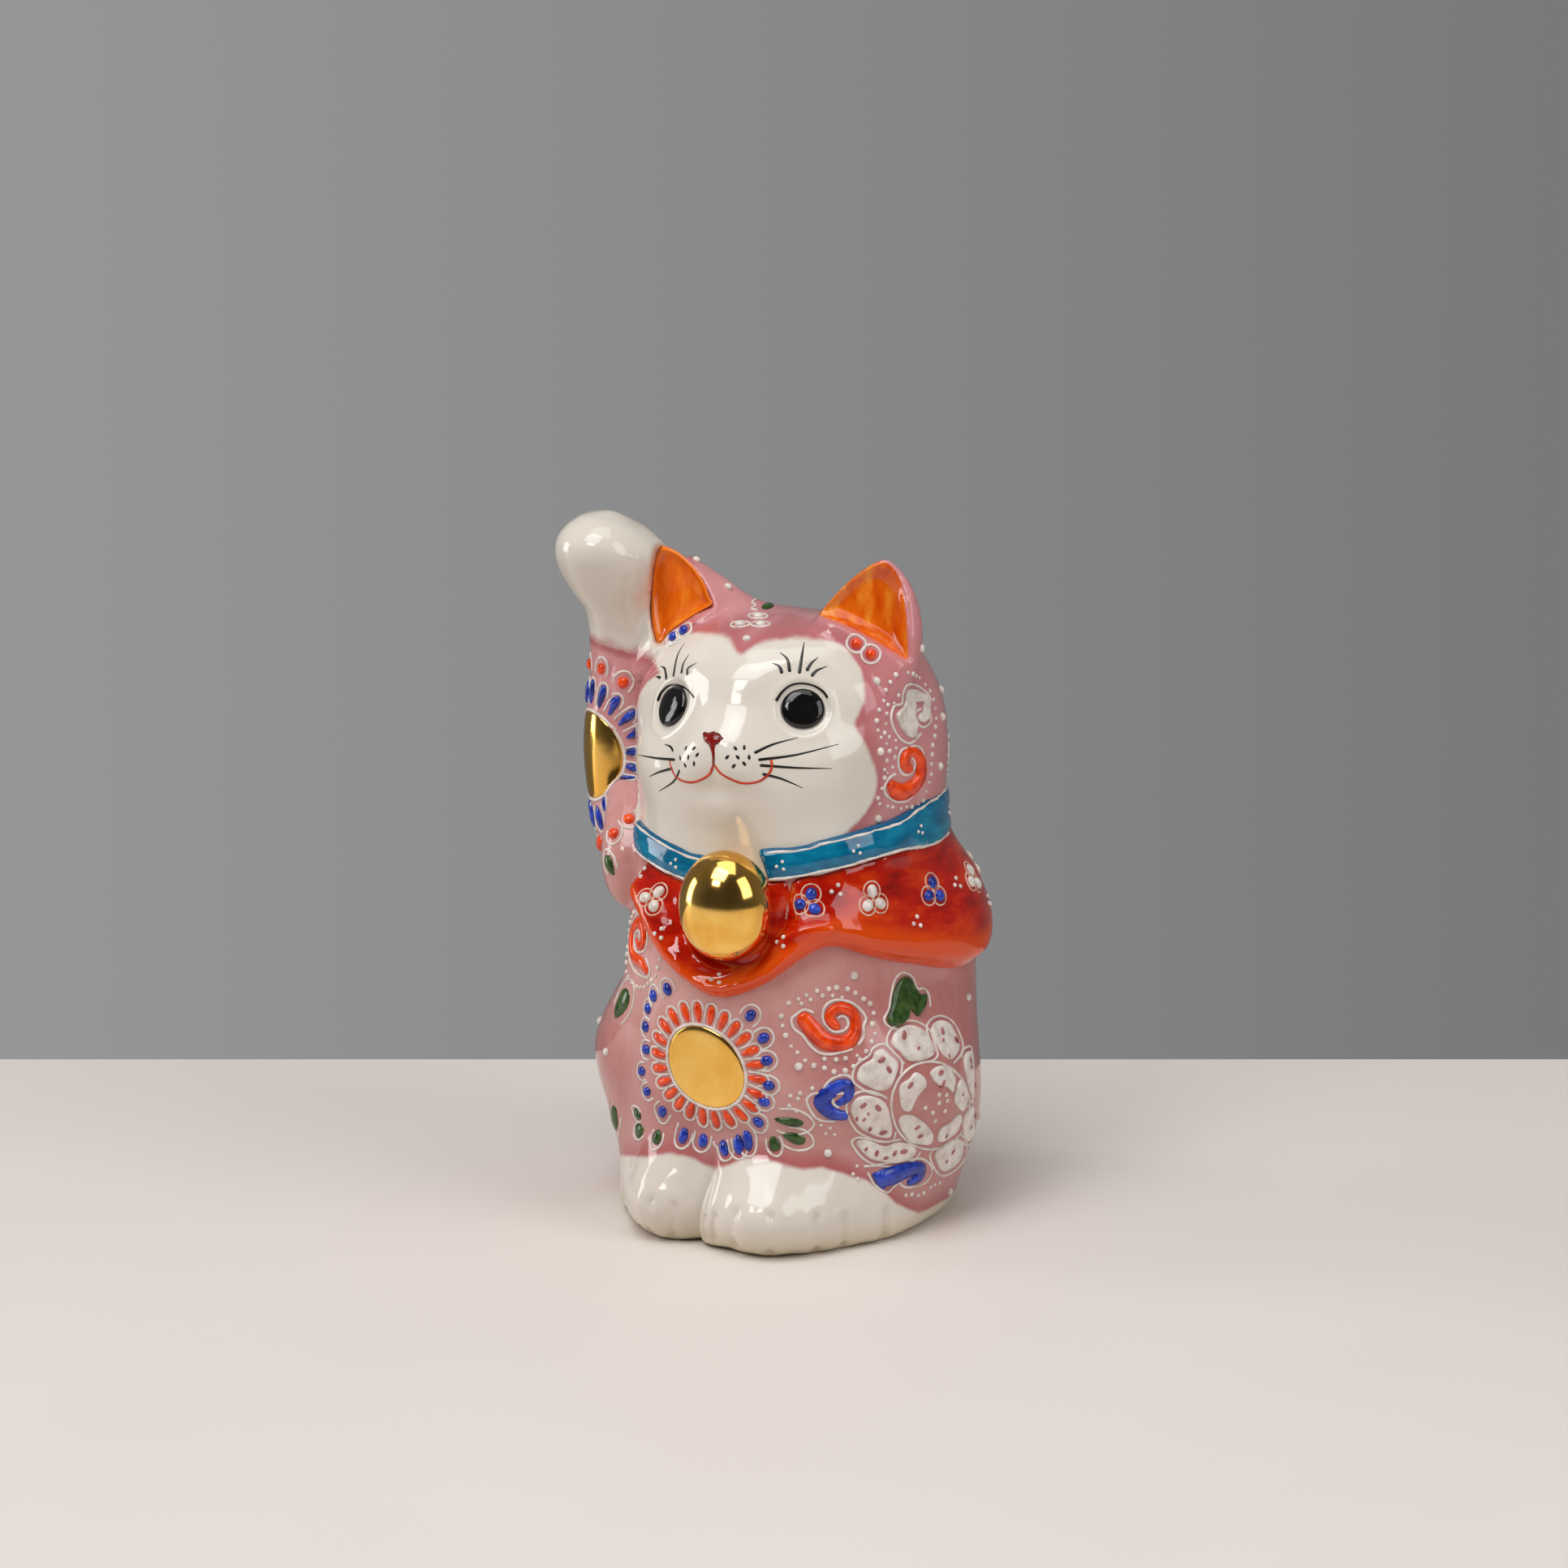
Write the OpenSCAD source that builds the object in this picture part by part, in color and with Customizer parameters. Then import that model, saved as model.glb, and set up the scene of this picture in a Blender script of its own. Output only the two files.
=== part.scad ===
// Beckoning cat figurine: slip-cast glazed porcelain with raised enamel and gilding.
// Millimetres, +Z up, origin on the table under the middle of the foot.
// The face looks along -Y. An azimuth is 0 at the front and grows towards +X, the cat's left.

/* [Torso] */
// Height of the flat joint between torso and head
neck_z = 88; // [85:0.5:91]
// Width of the torso at the foot line
foot_w = 72; // [68:1:78]
// Reach of the foot line in front of the axis
foot_front = 37; // [34:0.5:40]
// Reach of the foot line behind the axis
foot_back = 37; // [34:0.5:40]
// Height at which the hips are widest
hip_z = 30; // [26:1:36]
// Width across the hips
hip_w = 80; // [76:1:86]
// Reach of the belly in front of the axis
belly_front = 39.5; // [37:0.5:42]
// Reach of the rump behind the axis
rump_back = 42; // [39:0.5:45]
// Height of the shoulders
shoulder_z = 64; // [60:1:70]
// Width across the shoulders
shoulder_w = 82; // [78:1:86]
// Reach of the chest in front of the axis
chest_front = 38; // [36:0.5:41]
// Reach of the shoulder blades behind the axis
shoulder_back = 41.5; // [38:0.5:44]
// Width of the neck joint
neck_w = 68; // [64:0.5:72]
// Reach of the throat in front of the axis
throat_front = 34; // [32:0.5:36]
// Reach of the nape behind the axis
nape_back = 34; // [32:0.5:36]
// Rounding of the edge that stands on the table
foot_round = 2; // [1.5:0.25:4]

/* [Legs and paws] */
// How far each haunch swells out of the torso
haunch_swell = 4.2; // [2.5:0.25:5.5]
// Azimuth of the haunch's fullest point
haunch_az = 90; // [82:1:96]
// How far the flank is drawn in above the haunch
flank_tuck = 5.5; // [4:0.25:7]
// Azimuth of the deepest part of the flank
flank_az = 70; // [64:1:76]
// Depth of the crease between foreleg and haunch
crease_depth = 1.8; // [1:0.1:2.5]
// Azimuth of that crease
crease_az = 38; // [35:1:41]
// How far each front paw swells out of the torso
paw_swell = 5.2; // [4:0.2:6.4]
// How much further forward the left front paw stands
paw_lead = 1.4; // [0:0.2:2.5]
// Azimuth of each front paw
paw_az = 17; // [15:0.5:20]
// Height of a paw's fullest point
paw_z = 7; // [5:0.5:9]
// Depth of the cleft between the two front paws
cleft_depth = 5; // [3:0.25:7]
// Depth of the grooves between the toes
toe_groove = 0.7; // [0.4:0.1:1]

/* [Shell] */
// Thickness of the cast wall
wall = 4; // [3.5:0.25:5]
// Thickness of the base plate
base_plate_t = 4; // [3:0.25:5]
// Radius of the base plate
base_plate_r = 26; // [22:0.5:28]
// Radius of the vent hole in the base plate
vent_r = 6; // [5:0.25:7]
// Distance of the vent hole behind the middle of the base plate
vent_y = 12; // [10:0.5:14]

/* [Head] */
// Height of the cheeks, where the head is widest
cheek_z = 104; // [101:0.5:106]
// Height of the crown
crown_z = 138; // [134:0.5:141]
// Width across the cheeks
head_w = 71; // [68:0.5:75]
// Reach of the face in front of the axis
face_front = 34; // [32:0.5:36]
// Reach of the back of the head
head_back = 34; // [32:0.5:36]
// How far the muzzle stands out of the face
muzzle_swell = 3.4; // [2:0.2:5]
// Height of the middle of the muzzle
muzzle_z = 109; // [107:0.5:111]
// Depth of each eye socket
socket_depth = 2.6; // [1.5:0.1:3.5]
// Azimuth of each eye
eye_az = 30.5; // [28:0.5:33]
// Height of the eyes
eye_z = 119; // [117:0.5:121]
// Radius of each eye
eye_r = 4.7; // [4:0.1:5.2]
// How far an eye stands proud of its socket
eye_proud = 0.8; // [0.5:0.1:1.2]
// How far the face leans towards the raised paw
face_lean = 3; // [0:0.5:5]
// How far the sides of the face are drawn in
temple_tuck = 2.6; // [1.5:0.1:3.5]
// Height of the nose
nose_z = 113.5; // [112.5:0.25:115]
// Radius of the nose
nose_r = 1.9; // [1.5:0.1:2.4]

/* [Ears] */
// Width of an ear where it leaves the head
ear_w = 28; // [25:0.5:31]
// Height of an ear's tip
ear_tip_z = 149.4; // [146:0.2:153]
// Distance of an ear's tip from the middle plane
ear_tip_x = 25.8; // [24:0.2:28]
// Distance of an ear's foot from the middle plane
ear_foot_x = 19.8; // [18:0.2:22]
// Thickness of an ear at its foot
ear_t = 15; // [13:0.5:17]
// Thickness of the ear's rim and back
ear_wall = 2.6; // [2:0.1:3.2]
// How far the foot of an ear stands in front of the axis
ear_foot_y = 7.5; // [6:0.5:9]
// How far an ear leans back
ear_lean = 12; // [6:1:16]
// How far an ear faces outwards
ear_turn = 19; // [12:1:24]

/* [Raised foreleg] */
// Distance of the foreleg's middle line from the middle plane
arm_x = 38.3; // [37:0.1:40]
// Thickness of the foreleg
arm_d = 19; // [17:0.5:21]
// Height at which the raised foreleg stands furthest out from the cheek
arm_bend_z = 104; // [101:0.5:106]
// Thickness of the wrist
wrist_d = 16.4; // [14:0.2:18]
// Height of the wrist
wrist_z = 130; // [126:0.5:134]
// Width of the paw
hand_w = 23; // [20:0.5:26]
// Length of the paw from front to back
hand_l = 28; // [25:0.5:31]
// How far the middle of the paw stands in front of the axis
hand_y = 11; // [9:0.5:13]
// Height of the top of the raised paw
hand_top_z = 158; // [155:0.2:161]

/* [Tail] */
// Thickness of the tail
tail_d = 14; // [11:0.5:17]
// Height that the tail's tip reaches
tail_z = 26; // [22:1:30]

/* [Bib, collar and bell] */
// How far the bib stands off the torso near its hem
bib_t = 4.8; // [3.6:0.2:6]
// Width of the sloping edge at the bib's hem
bib_edge = 5; // [4:0.25:6]
// Height of the bib's hem under the bell
bib_front_z = 57; // [55:0.5:60]
// Height of the bib's hem at its rise beside the bell
bib_rise_z = 69; // [67:0.5:71]
// Height of the bib's hem on the cat's left shoulder
bib_shoulder_z = 59.5; // [57:0.5:62]
// Height of the bib's hem under the raised foreleg
bib_arm_z = 78; // [76:0.5:80]
// Height of the bib's hem on the back
bib_back_z = 68; // [65:0.5:72]
// Height of the collar's middle line at the sides and back
collar_z = 89; // [87:0.5:91]
// How far the collar droops at the bell
collar_droop = 5.5; // [4:0.25:7]
// Width of the collar band
collar_w = 6.6; // [5.5:0.2:7.5]
// How far the collar stands off the neck
collar_t = 1.3; // [0.8:0.1:2]
// Width of the bell
bell_w = 19; // [17:0.5:21]
// Height of the bell
bell_h = 24.6; // [22:0.2:26]
// Height of the bell's middle
bell_z = 78.5; // [76:0.5:81]
// Azimuth of the bell
bell_az = 6; // [0:1:8]
// How far the bell's middle stands off the torso
bell_off = 3.5; // [2.5:0.25:5]

/* [Enamel and gilding] */
// Height of the gilded sun on the belly
sun_z = 41.5; // [40:0.5:43]
// Azimuth of the gilded sun on the belly
sun_az = -2; // [-5:1:3]
// Radius of the gilded sun on the belly
sun_r = 8.8; // [7.5:0.2:9.5]
// Number of petals round the belly sun
sun_petals = 24; // [18:1:26]
// Number of beads round those petals
sun_beads = 20; // [16:1:22]
// How far the middle of the foreleg's sun lies below where the foreleg stands furthest out
arm_sun_drop = 3; // [0:0.5:6]
// Radius of the gilded sun on the foreleg
arm_sun_r = 9.6; // [8:0.2:10]
// Thickness of the gilding's raised ground
gilding_t = 0.4; // [0.3:0.05:0.6]
// Height of a raised bead of enamel
bead_h = 0.8; // [0.5:0.05:1.1]
// Radius of the larger beads
bead_r = 1.3; // [1:0.05:1.5]
// Radius of the white dots
dot_r = 1.0; // [0.7:0.05:1.2]
// Height of the peony on the left haunch
peony_z = 34; // [32:0.5:36]
// Azimuth of the peony on the left haunch
peony_az = 72; // [69:1:75]
// Radius of the peony's ring of petals
peony_r = 9.6; // [8.8:0.2:11]

/* [Hidden] */
arm_sun_z = arm_bend_z - arm_sun_drop;

// Columns of facets round a skin, and the angle between them
columns = 72;
step = 360 / columns;
// Superellipse powers of the torso's plan, of the head's plan and of the head's rise to the crown
torso_power = 2.2;
head_power = 2.1;
crown_power = 2.5;
// How far a cut reaches past the skin that it trims
past = 3;
// Stand-off at the thin edges of the bib and the collar
thin = 0.4;
// How far enamel sinks into the glaze below it
key = 0.15;

pink = "#d793a6";
porcelain = "#ece6da";
vermilion = "#b8240a";
turquoise = "#0f7fa0";
gold = "#d9a441";
black = "#15130f";
cobalt = "#2438b0";
white = "#f4efe6";
leaf_green = "#2f6b2c";

// Plan sizes at a height: half-width, reach in front, reach behind
torso_plan = [
    [0, foot_w / 2, foot_front, foot_back],
    [hip_z, hip_w / 2, belly_front, rump_back],
    [shoulder_z, shoulder_w / 2, chest_front, shoulder_back],
    [neck_z, neck_w / 2, throat_front, nape_back]];
head_plan = [
    [neck_z, neck_w / 2, throat_front, nape_back],
    [cheek_z, head_w / 2, face_front, head_back],
    [crown_z, head_w / 2, face_front, head_back]];

// Hem of the bib: azimuth and height
bib_hem = [
    [-180, bib_back_z], [-120, bib_back_z + 3], [-80, bib_arm_z], [-50, bib_arm_z - 1], [-32, bib_arm_z - 5],
    [-12, bib_front_z + 4], [2, bib_front_z], [16, bib_front_z + 3], [39, bib_rise_z],
    [70, bib_shoulder_z + 5], [104, bib_shoulder_z], [140, bib_shoulder_z + 5], [180, bib_back_z]];

// Middle line of the raised foreleg, from shoulder to the top of the paw, each with half-width and half-depth
arm_line = [
    [[-arm_x + 17, -8, shoulder_z], arm_d / 2, arm_d / 2],
    [[-arm_x + 8.5, -8, shoulder_z + 12], arm_d / 2, arm_d / 2],
    [[-arm_x + 2.5, -6, neck_z], arm_d / 2, arm_d / 2],
    [[-arm_x, -5, arm_bend_z], arm_d / 2, arm_d / 2],
    [[-arm_x + 0.5, -4.5, (arm_bend_z + wrist_z) / 2 + 2], (arm_d + wrist_d) / 4, (arm_d + wrist_d) / 4],
    [[-arm_x - 0.3, -4.5, wrist_z], wrist_d / 2, wrist_d / 2 + 0.6],
    [[-arm_x + 0.2, -4 - (hand_y - 4) * 0.5, wrist_z + 9], hand_w / 2 - 3.2, hand_l / 2 - 3.7],
    [[-arm_x, -hand_y + 1, hand_top_z - 13], hand_w / 2 - 1, hand_l / 2 - 2.2],
    [[-arm_x + 0.5, -hand_y, hand_top_z - 6.5], hand_w / 2, hand_l / 2],
    [[-arm_x + 1, -hand_y, hand_top_z], hand_w / 2 - 2, hand_l / 2 - 2]];
arm_rings = 30;
arm_sides = 24;

// Middle line of the tail, which lies against the rump
tail_line = [
    [[2, rump_back - 4, tail_d / 2], tail_d / 2, tail_d / 2],
    [[4, rump_back - 0.5, tail_z * 0.45], tail_d / 2, tail_d / 2],
    [[6, rump_back, tail_z * 0.7], tail_d / 2 - 0.3, tail_d / 2 - 0.3],
    [[9, rump_back - 1, tail_z], tail_d / 2 - 1, tail_d / 2 - 1]];
tail_rings = 12;
tail_sides = 16;

// Curves and bumps

function wrap(a) = a - 360 * round(a / 360);
function hump(x, w) = exp(-x * x / (2 * w * w));
function mix(a, b, t) = a + (b - a) * t;
function ease(t) = t <= 0 ? 0 : t >= 1 ? 1 : t * t * (3 - 2 * t);
function unit(v) = v / norm(v);

// Slope of a table's column k at row i, and the smooth curve through that column
function slope(t, k, i) = let (a = max(i - 1, 0), b = min(i + 1, len(t) - 1))
    (t[b][k] - t[a][k]) / (t[b][0] - t[a][0]);
function row_below(t, x, i = 0) = i >= len(t) - 2 || x < t[i + 1][0] ? i : row_below(t, x, i + 1);
function curve(t, x, k) = let (i = row_below(t, x), h = t[i + 1][0] - t[i][0], s = (x - t[i][0]) / h)
    t[i][k] * (1 + 2 * s) * (1 - s) * (1 - s) + slope(t, k, i) * h * s * (1 - s) * (1 - s)
    + t[i + 1][k] * s * s * (3 - 2 * s) + slope(t, k, i + 1) * h * s * s * (s - 1);

// Radius of a plan that is a superellipse with its own reach in front and behind
function plan_r(table, az, z, power) = let (d = curve(table, z, cos(az) >= 0 ? 2 : 3))
    pow(pow(abs(sin(az)) / curve(table, z, 1), power) + pow(abs(cos(az)) / d, power), -1 / power);

// Torso skin

function foot_tuck(z) = z >= foot_round ? 0
    : foot_round - sqrt(max(0, foot_round * foot_round - pow(foot_round - z, 2)));
function haunch(az, z) = haunch_swell * hump(az - haunch_az, 30)
    * hump(z - hip_z + 1 + (az - haunch_az) * 0.28, 12);
function flank(az, z) = flank_tuck * hump(az - flank_az, 22) * ease((z - 34) / 24) * ease((neck_z - z) / 14);
function crease(az, z) = crease_depth * hump(az - crease_az, 6) * ease((40 - z) / 26);
function paw(az, z) = paw_swell * hump(az - paw_az, 13) * hump(z - paw_z, 8)
    + 0.3 * paw_swell * hump(az - 58, 12) * hump(z - paw_z + 1, 7);
function lead(az, z) = paw_lead * hump(az - paw_az - 6, 11) * hump(z - paw_z + 4, 8);
function cleft(az, z) = cleft_depth * hump(az, 3.6) * hump(z, 15);
toe_az = [10, 17.5, 26, 60];
function toes(az, z) = toe_groove * hump(z - paw_z + 3, 5)
    * max([for (a = toe_az) hump(az - a, 1.6)]);
function torso_r(az, z) = let (a = abs(wrap(az)))
    plan_r(torso_plan, az, z, torso_power) + haunch(a, z) + paw(a, z)
    + lead(wrap(az), z) - flank(a, z) - crease(a, z) - cleft(a, z) - toes(a, z) - foot_tuck(z);

// Head skin: below the cheeks it is a function of height, above them of the angle to the crown

function socket(a, z) = socket_depth * hump(a - eye_az, 12) * hump(z - eye_z, 7);
function muzzle(a, z) = muzzle_swell * hump(a, 19) * hump(z - muzzle_z, 7.5)
    + 1.2 * hump(a, 7) * hump(z - nose_z, 3.5);
function cheek(a, z) = 1.2 * hump(a - 42, 16) * hump(z - muzzle_z + 5, 7);
function temple(a) = temple_tuck * hump(a - 64, 18);
function leaned(az, z) = z - tan(face_lean) * face_front * sin(az) * ease((crown_z - z) / 12);
function face(az, z) = let (a = abs(wrap(az)), h = leaned(az, z))
    muzzle(a, h) + cheek(a, h) - socket(a, h) - temple(a) * ease((z - neck_z) / 8);
function crown_share(z) = z <= cheek_z ? 1
    : pow(max(0, 1 - pow((z - cheek_z) / (crown_z - cheek_z), crown_power)), 1 / crown_power);
function head_r(az, z) = plan_r(head_plan, az, z, head_power) * crown_share(z)
    + face(az, z) * ease((crown_z - z) / 12);

function skin_r(az, z) = z <= neck_z ? torso_r(az, z) : head_r(az, z);
function on_skin(az, z, grow = 0) = let (r = skin_r(az, z) + grow) [r * sin(az), -r * cos(az), z];
function skin_normal(az, z) = unit(cross(on_skin(az + 1, z) - on_skin(az - 1, z),
    on_skin(az, z + 0.5) - on_skin(az, z - 0.5)));

// Closed skins from rings of points

function ring_faces(rings, sides, first) = [for (i = [0 : rings - 2], j = [0 : sides - 1])
    let (a = first + i * sides, b = a + sides, k = (j + 1) % sides)
    each [[a + j, b + j, b + k], [a + j, b + k, a + k]]];

// A stack of rings with a point closing each end
module stack(rings) {
    n = len(rings);
    m = len(rings[0]);
    low = [for (p = [0 : 2]) [for (q = rings[0]) q[p]] * [for (q = rings[0]) 1 / m]];
    high = [for (p = [0 : 2]) [for (q = rings[n - 1]) q[p]] * [for (q = rings[n - 1]) 1 / m]];
    points = concat([low], [for (r = rings, p = r) p], [high]);
    caps = [for (j = [0 : m - 1]) let (k = (j + 1) % m)
        each [[0, 1 + j, 1 + k], [n * m + 1, n * m + 1 - m + k, n * m + 1 - m + j]]];
    polyhedron(points, concat(caps, ring_faces(n, m, 1)));
}

// A ring of material: the stack's last ring joins its first
module hoop(rings) {
    n = len(rings);
    m = len(rings[0]);
    closing = [for (j = [0 : m - 1]) let (a = (n - 1) * m, k = (j + 1) % m)
        each [[a + j, j, k], [a + j, k, a + k]]];
    polyhedron([for (r = rings, p = r) p], concat(ring_faces(n, m, 0), closing));
}

// One mesh from skins that cut each other
module carved() { resize([0, 0, 0]) children(); }

torso_rings = 26;
torso_levels = [for (i = [0 : torso_rings]) neck_z * pow(i / torso_rings, 1.25)];
function torso_ring(z, grow) = [for (j = [0 : columns - 1])
    let (az = j * step, r = torso_r(az, z) + grow) [r * sin(az), -r * cos(az), z]];
module torso_solid(grow = 0) { stack([for (z = torso_levels) torso_ring(z, grow)]); }

low_rings = 5;
head_angles = 15;
head_levels = concat([for (i = [0 : low_rings - 1]) mix(neck_z, cheek_z, i / low_rings)],
    [for (i = [0 : head_angles]) mix(cheek_z, crown_z, pow(sin(i * 88 / head_angles), 2 / crown_power))]);
function head_ring(z, grow) = [for (j = [0 : columns - 1])
    let (az = j * step, r = max(0.2, head_r(az, z) + grow * crown_share(z)))
    [r * sin(az), -r * cos(az), z + grow * (1 - crown_share(z))]];
module head_solid(grow = 0) { stack([for (z = head_levels) head_ring(z, grow)]); }

// Both skins as one solid, for what is trimmed to them
module skin_solid(grow = 0) {
    torso_solid(grow);
    head_solid(grow);
}

// A limb along a middle line of points, each with a half-width and a half-thickness

function at_line(line, t, k) = let (n = len(line) - 1, i = min(floor(t * n), n - 1), s = t * n - i,
    p = line[max(i - 1, 0)][k], a = line[i][k], b = line[i + 1][k], q = line[min(i + 2, n)][k])
    0.5 * (2 * a + (b - p) * s + (2 * p - 5 * a + 4 * b - q) * s * s + (3 * a - p - 3 * b + q) * s * s * s);
function limb_ring(line, t, sides, grow) = let (
    o = at_line(line, t, 0), e = 0.01,
    along = unit(at_line(line, min(1, t + e), 0) - at_line(line, max(0, t - e), 0)),
    out = unit([1, 0, 0] - along * along[0]), up = cross(along, out),
    f = t > 0.88 ? sqrt(1.02 - pow((t - 0.88) / 0.12, 2)) : 1,
    a = f * at_line(line, t, 1) + grow, b = f * at_line(line, t, 2) + grow)
    [for (j = [0 : sides - 1]) let (q = 360 * j / sides) o + out * a * cos(q) + up * b * sin(q)];
module limb(line, rings, sides, grow = 0) {
    stack([for (i = [0 : rings]) limb_ring(line, i / rings, sides, grow)]);
}

// Castings

cavity_rings = 8;
cavity_foot = base_plate_t + 1;
module torso_casting() {
    outer = [for (z = torso_levels) torso_ring(z, 0)];
    lip = [for (z = [base_plate_t, 0]) [for (j = [0 : columns - 1])
        base_plate_r * [sin(j * step), -cos(j * step), 0] + [0, 0, z]]];
    inner = [for (i = [cavity_rings : -1 : 0]) let (z = mix(cavity_foot, neck_z, i / cavity_rings))
        [for (j = [0 : columns - 1]) let (az = j * step, r = cavity_r(az, z)) [r * sin(az), -r * cos(az), z]]];
    color(pink) hoop(concat(outer, inner, lip));
}
function cavity_r(az, z) = plan_r(torso_plan, az, z, torso_power) - wall
    - cleft_depth * hump(az, 8) * hump(z, 15) - flank(abs(wrap(az)), z);

module base_plate() {
    color(porcelain) difference() {
        cylinder(r = base_plate_r, h = base_plate_t, $fn = 96);
        translate([0, vent_y, -1]) cylinder(r = vent_r, h = base_plate_t + 2, $fn = 48);
    }
}

module head_casting() {
    outer = [for (z = head_levels) head_ring(z, 0)];
    hollow = [for (i = [len(head_levels) - 1 : -4 : 0]) let (z = head_levels[i])
        [for (j = [0 : columns - 1]) let (az = j * step,
            r = max(0.2, plan_r(head_plan, az, z, head_power) - wall) * crown_share(z))
            [r * sin(az), -r * cos(az), min(z, mix(z, z - wall, ease((z - cheek_z) / 12)))]]];
    color(pink) carved() difference() {
        stack(outer);
        translate([0, 0, -0.01]) stack([for (i = [len(hollow) - 1 : -1 : 0]) hollow[i]]);
    }
}

// Half-width of an ear as a share of its foot: 0 at the foot, 1 at the tip, below 0 inside the head
function ear_share(t) = t < 0 ? sqrt(max(0, 1 - pow(t / ear_root, 2))) : pow(max(0, 1 - pow(t, 2)), 0.75);
ear_rings = 12;
ear_sides = 24;
ear_root = 0.6;
ear_foot_z = crown_z - 12;
module ear_solid(w, t, h) {
    stack([for (i = [-5 : ear_rings]) let (s = i < 0 ? ear_root * sin(17 * i) : sin(90 * i / ear_rings),
        a = max(0.01, ear_share(s)))
        [for (j = [0 : ear_sides - 1]) let (q = 360 * j / ear_sides)
            [w / 2 * a * cos(q) + s * (ear_tip_x - ear_foot_x), t / 2 * mix(a, sqrt(a), 0.5) * sin(q), s * h]]]);
}
module ear_frame(side) {
    translate([ear_foot_x, -ear_foot_y, ear_foot_z + side * ear_foot_x * tan(face_lean)])
        rotate([-ear_lean, 0, ear_turn]) children();
}
ear_h = (ear_tip_z - ear_foot_z) / cos(ear_lean);
module ear_skin(side) { ear_frame(side) ear_solid(ear_w, ear_t, ear_h); }
module ear(side) {
    color(pink) carved() difference() {
        ear_skin(side);
        ear_frame(side) translate([0, -ear_t / 2 - ear_wall / 2, 0])
            ear_solid(ear_w - 2 * ear_wall, ear_t + ear_wall, ear_h - 2 * ear_wall);
        head_solid();
    }
}
module left_ear() { ear(1); }
module right_ear() { mirror([1, 0, 0]) ear(-1); }

module arm_solid(grow = 0) { limb(arm_line, arm_rings, arm_sides, grow); }
module raised_foreleg() {
    color(porcelain) carved() difference() {
        arm_solid();
        skin_solid();
        bib_solid(-past, 0.5);
        collar_solid(-past, 1.15);
        mirror([1, 0, 0]) ear_skin(-1);
    }
}

module tail() {
    color(pink) carved() difference() {
        limb(tail_line, tail_rings, tail_sides);
        torso_solid();
    }
}

// Applied relief

function hem_z(az) = curve(bib_hem, wrap(az), 1);
function bib_top(az) = collar_mid(az) - collar_w / 2;
// Distance from the bell's middle, as a share of the bell's own outline
function bell_share(az, z) = abs(wrap(az - bell_az)) > 60 ? 9
    : 2 * norm([torso_r(az, z) * sin(az - bell_az) / bell_w, (z - bell_z) / bell_h]);
// Stand-off of the bib: thin at the collar, at the hem and under the bell, full above the sloping edge
function bib_off(az, z) = let (drop = bib_top(az) - hem_z(az), s = (bib_top(az) - z) / drop,
    e = max(0, min(1, (1 - s) * drop / bib_edge)),
    full = bib_t * (0.1 + 0.9 * ease(s / 0.7)) * sqrt(e * (2 - e)))
    max(thin, full * ease((bell_share(az, z) - 1.2) / 0.35));
bib_rings = 12;
bib_levels = [for (i = [0 : bib_rings]) pow(1 - i / bib_rings, 1.6)];
function bib_ring(s, off, turn) = [for (j = [0 : columns - 1]) let (az = wrap((j + turn) * step),
    z = mix(bib_top(az), hem_z(az), s), r = skin_r(az, z) + (off == undef ? bib_off(az, z) : off))
    [r * sin(az), -r * cos(az), z + (off == undef ? 0 : off * s)]];
module bib_solid(inner = 0, turn = 0) {
    hoop(concat(
        [for (i = [bib_rings : -1 : 0]) bib_ring(bib_levels[i], inner, turn)],
        [for (s = bib_levels) bib_ring(s, undef, turn)]));
}
module bib() { color(vermilion) bib_solid(); }

function collar_mid(az) = collar_z - collar_droop * hump(wrap(az) - bell_az, 30);
// The collar's section: height as a share of half its width, and stand-off
function collar_section(inner) = [[-1, inner], [-0.5, inner], [0, inner], [0.5, inner], [1, inner],
    [1, thin], [0.75, collar_t], [0, collar_t + 0.2], [-0.75, collar_t], [-1, thin]];
// Half the angle that the bell takes up at a height
function bell_side(z) = asin((thin + bell_w / 2 * sqrt(max(0, 1 - pow(2 * (z - bell_z) / bell_h, 2))))
    / torso_r(bell_az, bell_z));
// The band runs from one side of the bell round the neck to the other
module collar_solid(inner = 0, tall = 1) {
    stack([for (j = [0 : columns]) [for (p = collar_section(inner))
        let (side = bell_side(collar_mid(bell_az) + p[0] * collar_w / 2),
            az = bell_az + side + (360 - 2 * side) * j / columns,
            z = collar_mid(az) + p[0] * tall * collar_w / 2, r = skin_r(az, z) + p[1])
        [r * sin(az), -r * cos(az), z]]]);
}
module collar() { color(turquoise) collar_solid(); }

module bell_solid() {
    r = torso_r(bell_az, bell_z) + bell_off;
    sides = 24;
    rings = 14;
    translate([r * sin(bell_az), -r * cos(bell_az), bell_z])
        stack([for (i = [1 : rings - 1]) let (t = -90 + 180 * i / rings)
            [for (j = [0 : sides - 1]) let (q = 360 * j / sides)
                [bell_w / 2 * cos(t) * sin(q), -bell_w / 2 * cos(t) * cos(q), bell_h / 2 * sin(t)]]]);
}
module bell() {
    color(gold) carved() difference() {
        bell_solid();
        skin_solid(thin);
    }
}

// Enamel and gilding

// Puts what follows on the skin, its Z along the skin's normal and its Y up the skin
module on(az, z, sink = key) {
    n = skin_normal(az, z);
    x = unit([cos(az), sin(az), 0] - n * (n * [cos(az), sin(az), 0]));
    y = cross(n, x);
    p = on_skin(az, z) - n * sink;
    multmatrix([[x[0], y[0], n[0], p[0]], [x[1], y[1], n[1], p[1]], [x[2], y[2], n[2], p[2]], [0, 0, 0, 1]])
        children();
}

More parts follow.
